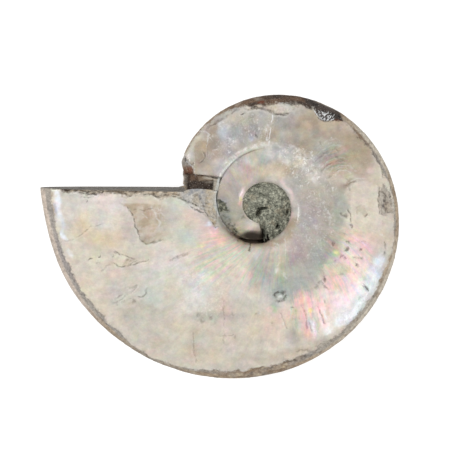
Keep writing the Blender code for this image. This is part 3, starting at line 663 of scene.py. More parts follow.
def line_channels(at, lines, sets):
    """Marks as thin as a hair on a coarser grid: for each set of lines, the signed distance across the
    nearest line in half widths, and how strong it is here. Lines that come close go into different sets."""
    side = np.full(at.shape[:-1] + (sets,), -OUTSIDE)
    strength = np.zeros(at.shape[:-1] + (sets,))
    placed = [[] for _ in range(sets)]
    found = np.full(at.shape[:-1] + (sets,), 1e9)
    for half_width, dark, *points in lines:
        points = [np.array(point, float) for point in points]
        spans = zip(points, points[1:])
        samples = np.concatenate([mix(a, b, np.linspace(0, 1, 9)[:, None]) for a, b in spans])
        gaps = [[np.linalg.norm(samples[:, None] - other[None], axis=-1).min() for other in group]
                for group in placed]
        room = [min(gap + [99.0]) for gap in gaps]
        chosen = int(np.argmax(room))
        placed[chosen].append(samples)
        lengths = [np.linalg.norm(b - a) for a, b in zip(points, points[1:])]
        whole = sum(lengths)
        low, high = samples.min(axis=0) - 6, samples.max(axis=0) + 6
        near = np.all((at > low) & (at < high), axis=-1)
        spots = at[near]
        best = np.full(len(spots), 1e9)
        signed = np.zeros(len(spots))
        travelled = np.zeros(len(spots))
        passed = 0.0
        for a, b, length in zip(points, points[1:], lengths):
            along = (b - a) / length
            raw = (spots - a) @ along
            share = np.clip(raw, 0, length)
            offset = spots - a - share[:, None] * along
            distance = np.linalg.norm(offset, axis=-1)
            closer = distance < best
            sign = np.where(along[0] * offset[:, 1] - along[1] * offset[:, 0] >= 0, 1.0, -1.0)
            best = np.where(closer, distance, best)
            signed = np.where(closer, sign * distance, signed)
            travelled = np.where(closer, passed + raw, travelled)
            passed += length
        end = min(2.5, whole / 3)
        taper = smooth(travelled, -0.3, end) * (1 - smooth(travelled, whole - end, whole + 0.3))
        reach = half_width + 2.6
        here = dark * taper * (1 - smooth(best, reach, reach + 2.2))
        nearer = (here > 0.01) & (best < found[near][:, chosen])
        rows = np.nonzero(near.ravel())[0][nearer]
        found.reshape(-1, sets)[rows, chosen] = best[nearer]
        side.reshape(-1, sets)[rows, chosen] = (signed / half_width)[nearer]
        strength.reshape(-1, sets)[rows, chosen] = here[nearer]
    return side, strength


def region(at, points):
    """Signed distance to a closed outline: positive inside."""
    points = [np.array(point, float) for point in points]
    inside = np.zeros(at.shape[:-1], bool)
    for a, b in zip(points, points[1:] + points[:1]):
        crosses = (a[1] > at[..., 1]) != (b[1] > at[..., 1])
        level = np.where(a[1] == b[1], 1.0, b[1] - a[1])
        inside ^= crosses & (at[..., 0] < (b[0] - a[0]) * (at[..., 1] - a[1]) / level + a[0])
    distance = polyline_distance(at, points + points[:1])
    return np.where(inside, distance, -distance)


def ellipse(at, x, y, half_x, half_y, turn=0.0):
    """0 at the ellipse's centre, 1 on its edge, and more outside."""
    turn = math.radians(turn)
    dx, dy = at[..., 0] - x, at[..., 1] - y
    along = dx * math.cos(turn) + dy * math.sin(turn)
    across = -dx * math.sin(turn) + dy * math.cos(turn)
    return np.sqrt((along / half_x) ** 2 + (across / half_y) ** 2)


def soft_ellipse(at, x, y, half_x, half_y, turn=0.0, start=0.5, end=1.2):
    """1 in the middle of an ellipse, fading to 0 between these shares of its reach."""
    return 1 - smooth(ellipse(at, x, y, half_x, half_y, turn), start, end)


def strongest(at, wobble, rows):
    """The strongest of some soft ellipses, given as (strength, how far the wobble bends it, *ellipse)."""
    shares = [strength * soft_ellipse(at + wobble * bend, *shape) for strength, bend, *shape in rows]
    return np.max(shares, axis=0)


def blotches(points, size, seed, start, end):
    """Noise cut to blotches: 0 where it is below start, 1 above end."""
    return smooth(fractal(points, size, seed), start, end)


def paint(colours, shade, share):
    """Lays a named shade, or other colours, over the colours."""
    over = linear(shade) if isinstance(shade, str) else shade
    return mix(colours, over, share[..., None])


def table(value, rows):
    """Reads a table of (value, result) rows, straight between them."""
    return np.interp(value, *zip(*rows))


def shade_table(degrees, rows, column):
    colours = np.array([linear(row[column]) for row in rows])
    stops = [row[0] for row in rows]
    return np.stack([np.interp(degrees, stops, colours[:, band]) for band in range(3)], axis=-1)


def growth_turn(station):
    """How far a growth line leans towards the mouth at a station, in degrees: it is sickle-shaped."""
    return 20 * (1 - np.exp(-np.clip(station - 0.22, 0, 1) / 0.12)) + 20 * np.clip(station - 0.6, 0, 1)


def growth_place(phase, station, side):
    """A place for noise that runs along the growth lines: it changes fast across them, slowly along them."""
    line = phase + np.radians(growth_turn(station))
    return np.stack((np.cos(line) * 8, np.sin(line) * 8, station * 2.5 + side * 40), axis=-1)


class Grid:
    """A flank's grid of points: where each is seen and lies on the whorl, and the noise at it."""

    def __init__(self, points, phase, station, side, shift, seeds):
        self.side = side
        self.station = station
        self.resting = settle(points)
        self.at = seen_at(self.resting) + shift
        self.x, self.y = self.at[..., 0], self.at[..., 1]
        self.degrees = np.degrees(phase)
        self.radius = whorl_radius(phase) / UNIT
        self.from_rim = self.radius * (1 - station)
        self.wobble = np.stack([fractal(self.at, 13.0, seed) for seed in seeds[:2]], axis=-1)
        self.ragged = fractal(self.at, 7.0, seeds[2])
        self.spot = np.concatenate((self.at, self.resting[..., 2:] / UNIT), axis=-1)
        self.growth = growth_place(phase, station, side)
        self.cream = np.broadcast_to(linear("cream"), self.at.shape[:-1] + (3,))
        self.stump = (self.degrees > 300) & (self.degrees < 372) & (station > COVER - 0.02)
        # Distance from the seam between two whorls in picture units: positive on the outer whorl's wall
        border = np.where(phase < 2 * math.pi - 0.3, SEAM, COVER)
        self.across = (station - border) * self.radius
        self.wall_foot = (self.degrees < EARLIER) & (station < CREST)

    def values(self, tint, rock, bare, marks, flakes, ways):
        flakes = np.clip(np.stack(flakes, axis=-1), OUTSIDE, -OUTSIDE)
        return {"tint": tint, "rock": rock, "bare": bare, "side": marks[0], "mark": marks[1],
                "flakes": flakes, "ways": np.stack(ways, axis=-1), "lie": self.growth}


def upper_tint(grid, ragged):
    """The nacre's colour with its painted highlights, before the seam, the wall and the other highlights."""
    at, wobble = grid.at, grid.wobble
    # Greyer towards the upper side: partly the nacre's own colour, partly painted shade
    tint = paint(grid.cream, "stone", smooth(grid.degrees, 195, 225) * 0.6)
    for shade, x, y, half_x, half_y, turn, strength in PATCHES:
        small = max(half_x, half_y) < SMALL_PATCH
        blur, bend = (0.45, 1) if small else (0.6, 5)
        share = soft_ellipse(at + wobble * bend, x, y, half_x, half_y, turn, 1 - blur, 1 + blur)
        share = share if small else share * (1 + 0.35 * ragged)
        tint = paint(tint, shade, np.clip(share * strength, 0, 1))
    scaled = smooth(region(at + wobble * 1.5, SCALED), -0.7, 0.7)
    scaled = scaled * (1 - 0.9 * smooth(grid.x + 8 * ragged, 146, 176))
    scaled = scaled * (0.35 + 0.65 * blotches(at, 7.0, 83, -0.25, 0.2))
    tint = paint(tint, linear("tan") * 0.98, scaled * 0.85)
    upper = smooth(grid.degrees, 205, 235) * smooth(grid.from_rim, 4, 9)
    warmer = fractal(at, 17.0, 141) * (0.4 + 0.6 * upper)
    tint = tint * (1 + warmer[..., None] * np.array((0.16, 0.0, -0.22)))
    return tint * (1 + (0.10 + 0.20 * upper) * fractal(at, 9.0, 157))[..., None]


def rim_rock(grid, ragged, fine_ragged, bared):
    """The colours of the worn venter, the chips and the strip under the mouth."""
    at, x, y, spot, degrees = grid.at, grid.x, grid.y, grid.spot, grid.degrees
    outer = 1 - smooth(grid.from_rim + 0.8 * ragged, 3.2, 5.4)
    rock = paint(shade_table(degrees, RIM_SHADES, 2), shade_table(degrees, RIM_SHADES, 1), outer)
    mottle = blotches(spot, 6.0, 29, 0.0, 0.5)
    light_mottle = blotches(spot, 8.0, 37, 0.1, 0.5)
    speck = blotches(spot, 3.2, 41, -0.25, 0.35)
    drift = blotches(spot, 9.0, 47, -0.2, 0.3)
    rock = paint(rock, rock * 0.66, mottle * 0.5)
    rock = paint(rock, "sand", light_mottle * 0.35)
    spots = blotches(spot, 4.2, 67, 0.12, 0.30) * smooth(degrees, 20, 40) * (1 - smooth(degrees, 215, 235))
    rock = paint(rock, paint(linear("umber"), "flint", light_mottle), spots * 0.55)
    yellow = blotches(spot, 5.0, 73, 0.15, 0.35) * smooth(degrees, 66, 76) * (1 - smooth(degrees, 96, 106))
    rock = paint(rock, linear("honey") * 0.85, yellow * 0.7)
    # Painted shade: the stone darkens over the last few units before the venter's outer edge
    rock = rock * (0.84 + 0.16 * smooth(grid.from_rim, 1.0, 4.0))[..., None]
    cold = np.where(bared["covered"], smooth(bared["chip"], -0.5, 0.8), 0)
    cold_stone = linear("flint") * (0.9 - 0.45 * mottle)[..., None]
    rock = paint(rock, paint(cold_stone, "slate", 0.4 * speck), cold)
    rock = paint(rock, paint(linear("bark"), "soot", drift), cold * (1 - smooth(grid.from_rim, 9, 14)) * 0.85)
    rock = paint(rock, "rust", strongest(at, grid.wobble, RUST) * 0.9)
    worn = paint(linear("stone") * 1.25, linear("flint") * 1.25, blotches(spot, 4.6, 43, 0.02, 0.3))
    rock = paint(rock, paint(worn, "tan", 0.4 * drift), smooth(bared["side_patch"], -0.3, 0.6))

    strip = paint(linear("tan"), "sand", np.clip(0.4 * speck + 0.5 * drift, 0, 1))
    strip = paint(strip, "slate", smooth(190.4 - y + 0.8 * fine_ragged, -0.4, 1.0) * 0.8)
    shoulder = smooth(x, 176, 188)
    strip = paint(strip, paint(linear("sand") * 0.95, linear("steel") * 1.2, drift), shoulder)
    strip = paint(strip, paint(linear("honey"), "cream", speck), smooth(x, 204, 210) * 0.85)
    strip = paint(strip, "pale", shoulder * blotches(spot, 4.0, 53, 0.05, 0.35) * 0.8)
    strip = paint(strip, "bark", shoulder * blotches(spot, 3.6, 59, 0.30, 0.55) * 0.7)
    strip = paint(strip, "bark", soft_ellipse(at, 65.5, 189.4, 5.5, 2.4, 0, 0.6, 1.3))
    under_mouth = bared["by_mouth"] & ((grid.from_rim > 10) | (y < 190.5))
    rock = np.where(under_mouth[..., None], strip, rock)
    return np.where(bared["is_stump"][..., None], stump_rock(grid, bared, speck, drift), rock)


def stump_rock(grid, bared, speck, drift):
    """The colours of the stump, from its broken corner to the groove above the saw cut, whose lower band also
    holds painted shadow.
    """
    at, x, y, groove = grid.at, grid.x, grid.y, bared["groove"]
    rock = paint(linear("umber") * 0.85, linear("rust") * 1.2, 0.75 * drift * smooth(y, 160, 168))
    rock = paint(rock, "slate", (1 - smooth(y, 164, 169)) * 0.9)
    sliver = 1 - smooth(np.abs(bared["corner"] + 0.9), 0.4, 1.3)
    rock = paint(rock, "pale", sliver * (y < 169) * 0.9)
    rock = paint(rock, "bark", soft_ellipse(at, 185.6, 160, 1.6, 4.4, -32, 0.6, 1.3))
    # The groove's lowest band is dark bark-coloured rock with the painted shadow of the gully in it
    grainy = speck[..., None]
    bark_and_shade = linear("bark") * (0.75 + 0.6 * grainy)
    below = paint(linear("brown") * (0.75 + 0.5 * grainy), bark_and_shade, smooth(y, 180.0, 182.5))
    rock = paint(rock, below, smooth(groove, -0.4, 0.4))
    cut = (1 - smooth(np.abs(groove - 1.0), 0.6, 1.6)) * smooth(x, 193, 197)
    cut = cut * (0.55 + 0.45 * smooth(x, 208, 213))
    rock = paint(rock, linear("soot") * 0.7, cut)
    ochre = smooth(groove, 2.0, 3.0) * smooth(x, 195, 199) * (1 - smooth(y, 181.2, 182.6))
    ochre = ochre * (1 - smooth(x, 207, 212) * (y < 180.5))
    rock = paint(rock, paint(linear("tan"), "umber", drift), ochre)
    rock = paint(rock, "sand", strongest(at, grid.wobble, CREAM_BITS))
    rock = rock * (1 - 0.45 * (1 - smooth(x, 185, 189)) * smooth(groove, -1.0, 1.0))[..., None]
    return paint(rock, "sand", smooth(x, 211.5, 213.5) * smooth(y, 178, 180))


def upper_details(points, phase, station):
    """Painted values and relief of the upper flank's grid."""
    grid = Grid(points, phase, station, 1, 0, (3, 71, 11))
    at, x, y, degrees, from_rim = grid.at, grid.x, grid.y, grid.degrees, grid.from_rim
    wobble, ragged, across, stump = grid.wobble, grid.ragged, grid.across, grid.stump
    fine_ragged = fractal(at, 3.5, 15)
    covered = station > COVER + 1e-4
    near_seam = station < 0.62
    tint = upper_tint(grid, ragged)
    fan = strongest(at, wobble, FAN)

    # Bare stone: the venter, the strip under the mouth, chips and the broken shoulder
    width = table(degrees, RIM_WIDTH) * (1 + 0.22 * ragged) + 1.2 * ragged + 0.6 * fine_ragged
    by_mouth = (degrees < 45) & (x < 217)
    chip = region(at + wobble * 1.2, CHIP)
    side_patch = region(at + wobble * 2.0, SIDE_PATCH) + 1.6 * fine_ragged

    # The stump's broken end: a chipped corner and the groove above the saw cut
    corner = np.where(y < 164, (x - 181.5) * 0.80 - (y - 153) * 0.60, x - 193.6) + 0.5 * ragged
    facet = np.where(stump & (y > 152), -corner, OUTSIDE)
    groove = np.where(stump, y - 174.5 - 0.12 * np.maximum(x - 196, 0) - 0.5 * ragged, OUTSIDE)
    is_stump = stump & ((facet > -1.5) | (groove > -1.5))
    mouth_strip = np.where(by_mouth, table(x, MOUTH_EDGE) - y + 0.7 * fine_ragged, OUTSIDE)
    on_rim = np.where(covered, np.maximum(width - from_rim, chip), OUTSIDE)
    bare = np.max([on_rim, mouth_strip, side_patch, facet, groove], axis=0)

    # The seam between the whorls: a band of matrix on the left, a crevice below that is sunk and painted dark
    # as shadow, and painted shade along the seam
    around = np.where(degrees > EARLIER, degrees - 360, degrees)
    on_earlier = (station < COVER + 1e-4) & (degrees > EARLIER)
    dirt = np.where(on_earlier, table(around, SEAM_BAND) * (1 + 0.3 * ragged) + across, OUTSIDE)
    dirt = np.where(around < 10, np.minimum(dirt, (y - 199.2) * 2.0), dirt)
    dirt = np.where(around > 8, np.minimum(dirt, -0.4 + 2.4 * ragged), dirt)
    crevice_width = table(around, CREVICE_WIDTH)
    from_crevice = np.abs(across + 0.75 * crevice_width)
    crevice = 1 - smooth(from_crevice, 0.45 * crevice_width, 1.25 * crevice_width + 0.4)
    crevice = crevice * (crevice_width > 0) * near_seam
    shaded = 1 - smooth(np.abs(across), 0.5, np.where(across < 0, 7.0, 5.0))
    shaded = shaded * smooth(around, 8, 55) * (1 - smooth(around, 92, 106)) * near_seam

    bared = {"covered": covered, "chip": chip, "side_patch": side_patch, "by_mouth": by_mouth,
             "is_stump": is_stump, "corner": corner, "groove": groove}
    rock = rim_rock(grid, ragged, fine_ragged, bared)
    mouth_band = 1 - smooth(np.abs(y - 190.8 - 1.6 * ragged), 0.8, 2.2)
    mouth_band = mouth_band * smooth(x, 56, 66) * (1 - smooth(x, 168, 186))
    mouth_band = mouth_band * smooth(fine_ragged, -0.25, 0.1) * (degrees < 40)
    rock = paint(rock, "bark", mouth_band * 0.8)

    # Lines, veins and outlines of flakes
    dark_lines = line_channels(at + wobble * 0.6, LINES, WHITE_CHANNEL)
    white_lines = line_channels(at + wobble * 0.6, VEINS + SUTURES, 1)
    marks = [np.concatenate(pair, axis=-1) for pair in zip(dark_lines, white_lines)]
    lost = np.max([region(at + wobble * 1.5, outline) for outline in LOST_LAYERS], axis=0)
    plates = np.max([region(at + wobble, outline) for outline in PLATES], axis=0)
    plates = np.where(y < 118, np.minimum(plates, 0.05), plates)

    # The seam that the lost part of the shell left on the whorl before
    trace_reach = (station - COVER) * grid.radius
    exposed = smooth(degrees, 205, 235)
    fade = smooth(degrees, 262, 285)
    ridge = exposed * (1 - smooth(np.abs(trace_reach - 0.6), 0.5, 1.7)) * (0.35 + 0.65 * fade)
    beside = exposed * fade * (1 - smooth(np.abs(trace_reach + 1.3), 0.3, 1.1))
    tint = paint(tint, "mint", ridge * 0.65)
    flecks = smooth(fine_ragged, -0.2, 0.3)
    outside = exposed * (1 - smooth(np.abs(trace_reach - 3.0), 1.0, 2.8)) * (0.3 + 0.7 * flecks)
    tint = paint(tint, "white", outside * (0.45 + 0.4 * fade))
    tint = paint(tint, "pale", strongest(at, wobble, FROST) * flecks * 0.8)
    shell_seam = np.where(grid.wall_foot, 1 - smooth(across, 0.2, 1.6), 0)
    line = np.maximum(beside * 0.5, shell_seam * 0.35 * smooth(around, 25, 50))
    tint = paint(tint, "umber", shaded * 0.75)
    lit_edge = (1 - smooth(polyline_distance(at, LIT_EDGE), 1.0, 2.1)) * (0.7 + 0.3 * flecks)
    pale_edge = mix(linear("white"), linear("mint"), 0.5)
    tint = paint(tint, pale_edge, lit_edge)
    rock = paint(rock, pale_edge, lit_edge)
    # Painted shadow: the crevice and the whorl's broken tip are painted near black through the dark line
    # channel
    tip_crevice_shadow = soft_ellipse(at + wobble * 0.8, 253.5, 236.4, 12, 3.8, 3, 0.6, 1.3) * near_seam
    line = np.max([line * (1 - lit_edge), crevice * 0.9, tip_crevice_shadow], axis=0)

    # Painted light on the steep umbilical wall: a pale tint for the light the steep wall doesn't get. Painted
    # shadow darkens the whorl's tip towards the crevice
    wall = (1 - smooth(station, 0.222, 0.275)) * smooth(around, 96, 118)
    lit_tip_wall = (1 - smooth(station, 0.215, 0.265)) * (1 - smooth(around, 55, 75))
    wall = np.where(degrees > EARLIER, lit_tip_wall, wall) * smooth(ellipse(at, 285, 233, 19, 14, -40), 0.8, 1.4)
    wall = wall * (0.55 + 0.45 * blotches(at, 10.0, 137, -0.25, 0.25))
    warmth = blotches(at, 14.0, 131, -0.3, 0.3)[..., None]
    tint = paint(tint, np.array((0.90, 0.84, 0.79)) * (1 - 0.15 * warmth), wall * 0.5)
    tip_shadow = soft_ellipse(at + wobble, 253, 234.4, 13, 4.6, -4, 0.5, 1.3)
    tint = paint(tint, "bark", tip_shadow * near_seam * 0.85)
    tanned = soft_ellipse(at + wobble * 3, 358, 148, 12, 21, -38, 0.6, 1.2)
    tint = paint(tint, linear("tan") * 0.94, tanned * 0.8)

    # Blotched highlights, broken up where the nacre is scaly
    glint = strongest(at, wobble, GLINTS) * np.clip(0.95 + 2.6 * fine_ragged + 1.2 * ragged, 0.1, 1)
    tint = paint(tint, "ice", glint * 0.9)
    tint = paint(tint, "dusk", soft_ellipse(at + wobble * 2, 54.6, 209, 2.2, 6, -12) * 0.5)
    frosted = strongest(at, wobble, FROSTED) * (0.25 + 0.75 * blotches(at, 11.0, 61, -0.15, 0.2))

    # How deep the bare stone lies below the nacre, in millimetres
    depth = np.where(by_mouth, 0.22 + 0.3 * smooth(x, 176, 196) * smooth(across, 2, 8), RIM_LEDGE / MM)
    depth = np.where(is_stump, 0.4 + 0.8 * smooth(groove, -0.5, 1.5), depth)
    depth = np.where(covered, depth + 0.3 * smooth(chip, 0.0, 1.5), depth)
    depth = np.where(side_patch > -1, 0.12, depth)
    relief = relief_of(grid, marks, bare, depth, lost, plates, 0.02 + 0.05 * fan, (5, 91, 13, 17), 3)
    relief = relief + 0.012 * fractal(at, 5.0, 7) + 0.22 * ridge - 0.10 * beside - 1.0 * crevice
    relief = relief + 0.05 * smooth(dirt, -0.5, 1.0) * (1 + ragged)
    return relief * MM, grid.values(tint, rock, bare, marks, (lost, plates, dirt), (fan, frosted, line))


def relief_of(grid, marks, bare, depth, lost, plates, growth, seeds, dark_sets):
    """Relief along the normal, in millimetres: lumps, growth lines, flakes, cracks and the sunk stone."""
    side, mark = (channels[..., :dark_sets] for channels in marks)
    crack = np.max(mark * np.exp(-side**2), axis=-1)
    relief = 0.035 * fractal(grid.at, 26.0, seeds[0]) + growth * fractal(grid.growth, 0.30, seeds[1], 3)
    relief = relief - 0.06 * smooth(lost, -0.6, 0.6) + 0.04 * smooth(plates, -0.6, 0.6) - 0.12 * crack
    rough = 0.06 * fractal(grid.spot, 3.0, seeds[2]) + 0.06 * fractal(grid.spot, 8.0, seeds[3])
    return relief - smooth(bare, -0.4, 0.9) * (depth + rough)


def lower_details(points, phase, station):
    """The same for the hidden flank, which is a fair guess: worn like the upper one, with its own marks."""
    grid = Grid(points, phase, station, -1, LOWER_SHIFT, (203, 271, 211))
    at, ragged, stump, degrees = grid.at, grid.ragged, grid.stump, grid.degrees
    tint = grid.cream
    for index, shade in enumerate(("mist", "mint", "blush", "sand", "lilac", "pale", "tan")):
        tint = paint(tint, shade, blotches(at, 38.0, 220 + index * 7, 0.05, 0.45) * 0.6)
    width = (7.0 + 4.0 * fractal(at, 30.0, 205)) * (1 + 0.2 * ragged) + ragged
    bare = np.where(station > COVER, width - grid.from_rim, OUTSIDE)
    from_cut = (COIL_CENTRE[1] + MOUTH_OFFSET - grid.resting[..., 1]) / UNIT
    bare = np.maximum(bare, np.where(degrees < 45, 5.0 + 2.0 * ragged - from_cut, OUTSIDE))
    ground = blotches(at, 11.0, 251, 0.25, 0.5) * (grid.resting[..., 2] < 0.5 * MM)
    bare = np.maximum(bare, ground * 3 - 1.5)
    bare = np.where(stump, np.maximum(bare, 6 + 2 * ragged + from_cut), bare)
    rock = paint(linear("slate"), "tan", blotches(grid.spot, 3.2, 261, -0.25, 0.35))
    shift = np.array((LOWER_SHIFT + FRAME_UNITS * 0.02, LOWER_SHIFT - 6))
    marks = line_channels(at + grid.wobble - shift, LOWER_LINES, 4)
    line = np.where(grid.wall_foot, 1 - smooth(grid.across, 0.2, 1.6), 0) * 0.6
    fan = (1 - smooth(station, 0.3, 0.6)) * 0.6 * (degrees < 315)
    frosted = blotches(at, 50.0, 291, 0.0, 0.4) * 0.6
    lost = (fractal(at, 30.0, 301) - 0.34) * 18
    plates = (fractal(at, 26.0, 311) - 0.40) * 16
    depth = np.where(station < COVER + 0.05, 0.05, np.where(stump, 0.5, RIM_LEDGE / MM))
    relief = relief_of(grid, marks, bare, depth, lost, plates, 0.02 + 0.04 * fan, (207, 207, 213, 217), 4)
    clean = np.full(lost.shape, OUTSIDE)
    values = grid.values(tint, rock, bare, marks, (lost, plates, clean), (fan, frosted, line))
    return (relief - 0.10 * line) * MM, values


# ---------------------------------------------------------------- meshes
ATTRIBUTES = (("tint", 3), ("rock", 3), ("bare", 1), ("side", 4), ("mark", 4), ("flakes", 3), ("ways", 3),
              ("lie", 3))


class Vertices:
    """Grows a list of vertices and their painted values, block by block."""

    def __init__(self):
        self.points = []
        self.values = {name: [] for name, _ in ATTRIBUTES}
        self.count = 0

    def add(self, points, values):
        flat = points.reshape(-1, 3)
        self.points.append(flat)
        for name, width in ATTRIBUTES:
            self.values[name].append(values[name].reshape(len(flat), width))
        ids = np.arange(self.count, self.count + len(flat)).reshape(points.shape[:-1])
        self.count += len(flat)
        return ids


def quads(ids):
    return np.stack((ids[:-1, :-1], ids[1:, :-1], ids[1:, 1:], ids[:-1, 1:]), axis=-1).reshape(-1, 4)


def flank(store, side, rows, details):
    """The outer turn's and the inner turn's grids of one side: ids of their vertices."""
    stations, heights, crest, cover = section_rows(*rows)
    outer_points, phase, station = block(np.arange(COLUMNS + 1), stations, heights, crest, side)
    relief, values = details(outer_points, phase, station)
    outer_points = outer_points + grid_normals(outer_points, side) * relief[..., None]
    outer_points[0, :, 1] = mouth_y(outer_points[0, :, 0])
    outer_points[-1, cover + 1:, 1] = mouth_y(outer_points[-1, cover + 1:, 0])
    outer_ids = store.add(settle(outer_points), values)
    inner_columns = np.arange(COLUMNS, len(PHASES))
    shown = slice(0, cover + 1)
    inner_points, phase, station = block(inner_columns, stations[shown], heights[shown], crest, side)
    relief, values = details(inner_points, phase, station)
    inner_points = inner_points + grid_normals(inner_points, side) * relief[..., None]
    inner_ids = store.add(settle(inner_points), values)
    outer_ids[-1, cover] = outer_ids[0, 0]
    inner_ids[0, :] = outer_ids[-1, :cover + 1]
    inner_ids[:, cover] = outer_ids[:INNER + 1, 0]
    return outer_ids, inner_ids, cover


def section_arm(turn, rows, side, chipped):
    """Points of the cross-section in the plane of the mouth, for (station, half thickness) rows."""
    points = []
    for station, height in rows:
        phase = mouth_phase(np.array(station), turn)
        if chipped:
            station = COVER + (station - COVER) * (1 - CHIP_DEPTH)
            height = height * (1 - CHIP_THINNING)
        point = in_coil(phase, station, height, side)
        point[1] = mouth_y(point[0])
        points.append(point)
    return points


def mouth_outline(inset):
    """The horseshoe of the chamber in the plane of the mouth, this far inside the shell's surface."""
    bevel = (SEAM + 0.75 * (CREST - SEAM), SEAM_HEIGHT + 0.75 * (HALF_BREADTH - SEAM_HEIGHT))
    outer = (0.36, 0.42, 0.48, 0.54, 0.6, 0.67, 0.74, 0.81, 0.87, 0.915, 0.955, 0.98, 0.993, 0.9985, 1.0)
    inner = (0.74, 0.87, 0.915, 0.955, 0.98, 0.993, 1.0)
    outer = [bevel] + [(station, float(half_thickness(np.array(station)))) for station in outer]
    inner = [(station, float(half_thickness(np.array(station)))) for station in inner]
    arms = []
    for turn, rows in ((0, outer), (1, inner)):
        upper = section_arm(turn, rows, 1, turn == 1)
        lower = section_arm(turn, rows, -1, turn == 1)
        arms.append(upper + lower[-2::-1])
    points = arms[0] + arms[1][::-1]
    moved = []
    for index, point in enumerate(points):
        before = point - points[index - 1]
        after = points[(index + 1) % len(points)] - point
        before, after = before / np.linalg.norm(before), after / np.linalg.norm(after)
        first = np.array((-before[2], 0, before[0]))
        second = np.array((-after[2], 0, after[0]))
        place = point + (first + second) / (1 + first @ second) * inset
        place[1] = mouth_y(place[0])
        moved.append(place)
    return np.array(moved)


def close_rings(mesh_data, loop_edges, outline, depth):
    """Fills the sawn rim between the shell's edge and the chamber's outline, and lines the chamber."""
    top = [mesh_data.verts.new(point) for point in settle(outline)]
    down = outline + np.array((0, -depth, 0))
    bottom = [mesh_data.verts.new(point) for point in settle(down)]
    ring = [mesh_data.edges.new((top[i], top[(i + 1) % len(top)])) for i in range(len(top))]
    bmesh.ops.triangle_fill(mesh_data, edges=loop_edges + ring, use_beauty=True)
    for i in range(len(top)):
        j = (i + 1) % len(top)
        mesh_data.faces.new((top[i], bottom[i], bottom[j], top[j])).material_index = 1
    mesh_data.faces.new(bottom).material_index = 1


# The wall left between the shell's surface and the sawn chamber, and the chamber's depth
CHAMBER_WALL = 0.85 * MM
CHAMBER_DEPTH = 3.2 * MM
# The rock in it stays clear of both
FILL_INSET = 0.9 * MM
FILL_DEPTH = 3.1 * MM
# The hidden middle, where the two flanks' inner edges come together
HUB_ANGLE = math.pi + HIDDEN_PHASE + math.radians(140)
HUB_REACH = 2 * MM


def build_shell(nacre, sawn):
    store = Vertices()
    up_outer, up_inner, up_cover = flank(store, 1, UPPER_ROWS, upper_details)
    low_outer, low_inner, low_cover = flank(store, -1, LOWER_ROWS, lower_details)
    low_outer[:, -1] = up_outer[:, -1]
    faces = [quads(ids) for ids in (up_outer, up_inner, low_outer, low_inner)]
    triangles = []
    hubs = []
    for side, outer, inner in ((1, up_outer, up_inner), (-1, low_outer, low_inner)):
        rim = list(outer[INNER:, 0]) + list(inner[1:, 0]) + list(inner[-1, 1:-1])
        hub_y = math.sin(HUB_ANGLE) * HUB_REACH + UMBILICUS_SHIFT
        hub = np.array((math.cos(HUB_ANGLE) * HUB_REACH, hub_y, FLOOR_HEIGHT * side))
        hubs.append(settle(hub))
        hub_id = store.count + len(hubs) - 1
        triangles += [(rim[i], rim[(i + 1) % len(rim)], hub_id) for i in range(len(rim))]
    points = np.concatenate(store.points + [np.array(hubs)])
    points[:, 2] = np.maximum(points[:, 2], 0)
    mesh = bpy.data.meshes.new("shell")
    mesh.from_pydata(points.tolist(), [], np.concatenate(faces).tolist() + triangles)
    kinds = {1: ("FLOAT", "value"), 3: ("FLOAT_VECTOR", "vector"), 4: ("FLOAT_COLOR", "color")}
    for name, width in ATTRIBUTES:
        kind, field = kinds[width]
        layer = mesh.attributes.new(name, kind, "POINT")
        value = np.concatenate(store.values[name] + [np.zeros((len(hubs), width))]).ravel()
        layer.data.foreach_set(field, value.astype(np.float32))
    made = bpy.data.objects.new("shell", mesh)
    bpy.context.scene.collection.objects.link(made)
    mesh.materials.append(nacre)
    mesh.materials.append(sawn)
    mesh_data = bmesh.new()
    mesh_data.from_mesh(mesh)
    mesh_data.verts.ensure_lookup_table()
    loop = list(up_outer[0]) + list(low_outer[0][-2::-1])
    loop += list(low_outer[-1][low_cover + 1:]) + list(up_outer[-1][-2:up_cover:-1])
    loop_edges = []
    for first, second in zip(loop, loop[1:] + loop[:1]):
        pair = (mesh_data.verts[int(first)], mesh_data.verts[int(second)])
        edge = mesh_data.edges.get(pair)
        loop_edges.append(edge if edge else mesh_data.edges.new(pair))
    before = set(mesh_data.faces)
    close_rings(mesh_data, loop_edges, mouth_outline(CHAMBER_WALL), CHAMBER_DEPTH)
    for face in mesh_data.faces:
        face.smooth = True
        if face not in before:
            face.material_index = 1
            face.smooth = False
    loose = [vertex for vertex in mesh_data.verts if not vertex.link_faces]
    bmesh.ops.delete(mesh_data, geom=loose, context="VERTS")
    bmesh.ops.recalc_face_normals(mesh_data, faces=mesh_data.faces)
    mesh_data.to_mesh(mesh)
    mesh_data.free()
    mesh.set_sharp_from_angle(angle=math.radians(70))
    return made


def mesh_object(name, vertices, faces, finish, flat=False):
    mesh = bpy.data.meshes.new(name)
    mesh.from_pydata([tuple(v) for v in vertices], [], [tuple(int(i) for i in f) for f in faces])
    mesh_data = bmesh.new()
    mesh_data.from_mesh(mesh)
    bmesh.ops.recalc_face_normals(mesh_data, faces=mesh_data.faces)
    mesh_data.to_mesh(mesh)
    mesh_data.free()
    mesh.materials.append(finish)
    made = bpy.data.objects.new(name, mesh)
    bpy.context.scene.collection.objects.link(made)
    if not flat:
        mesh.shade_smooth()
        mesh.set_sharp_from_angle(angle=math.radians(60))
    return made


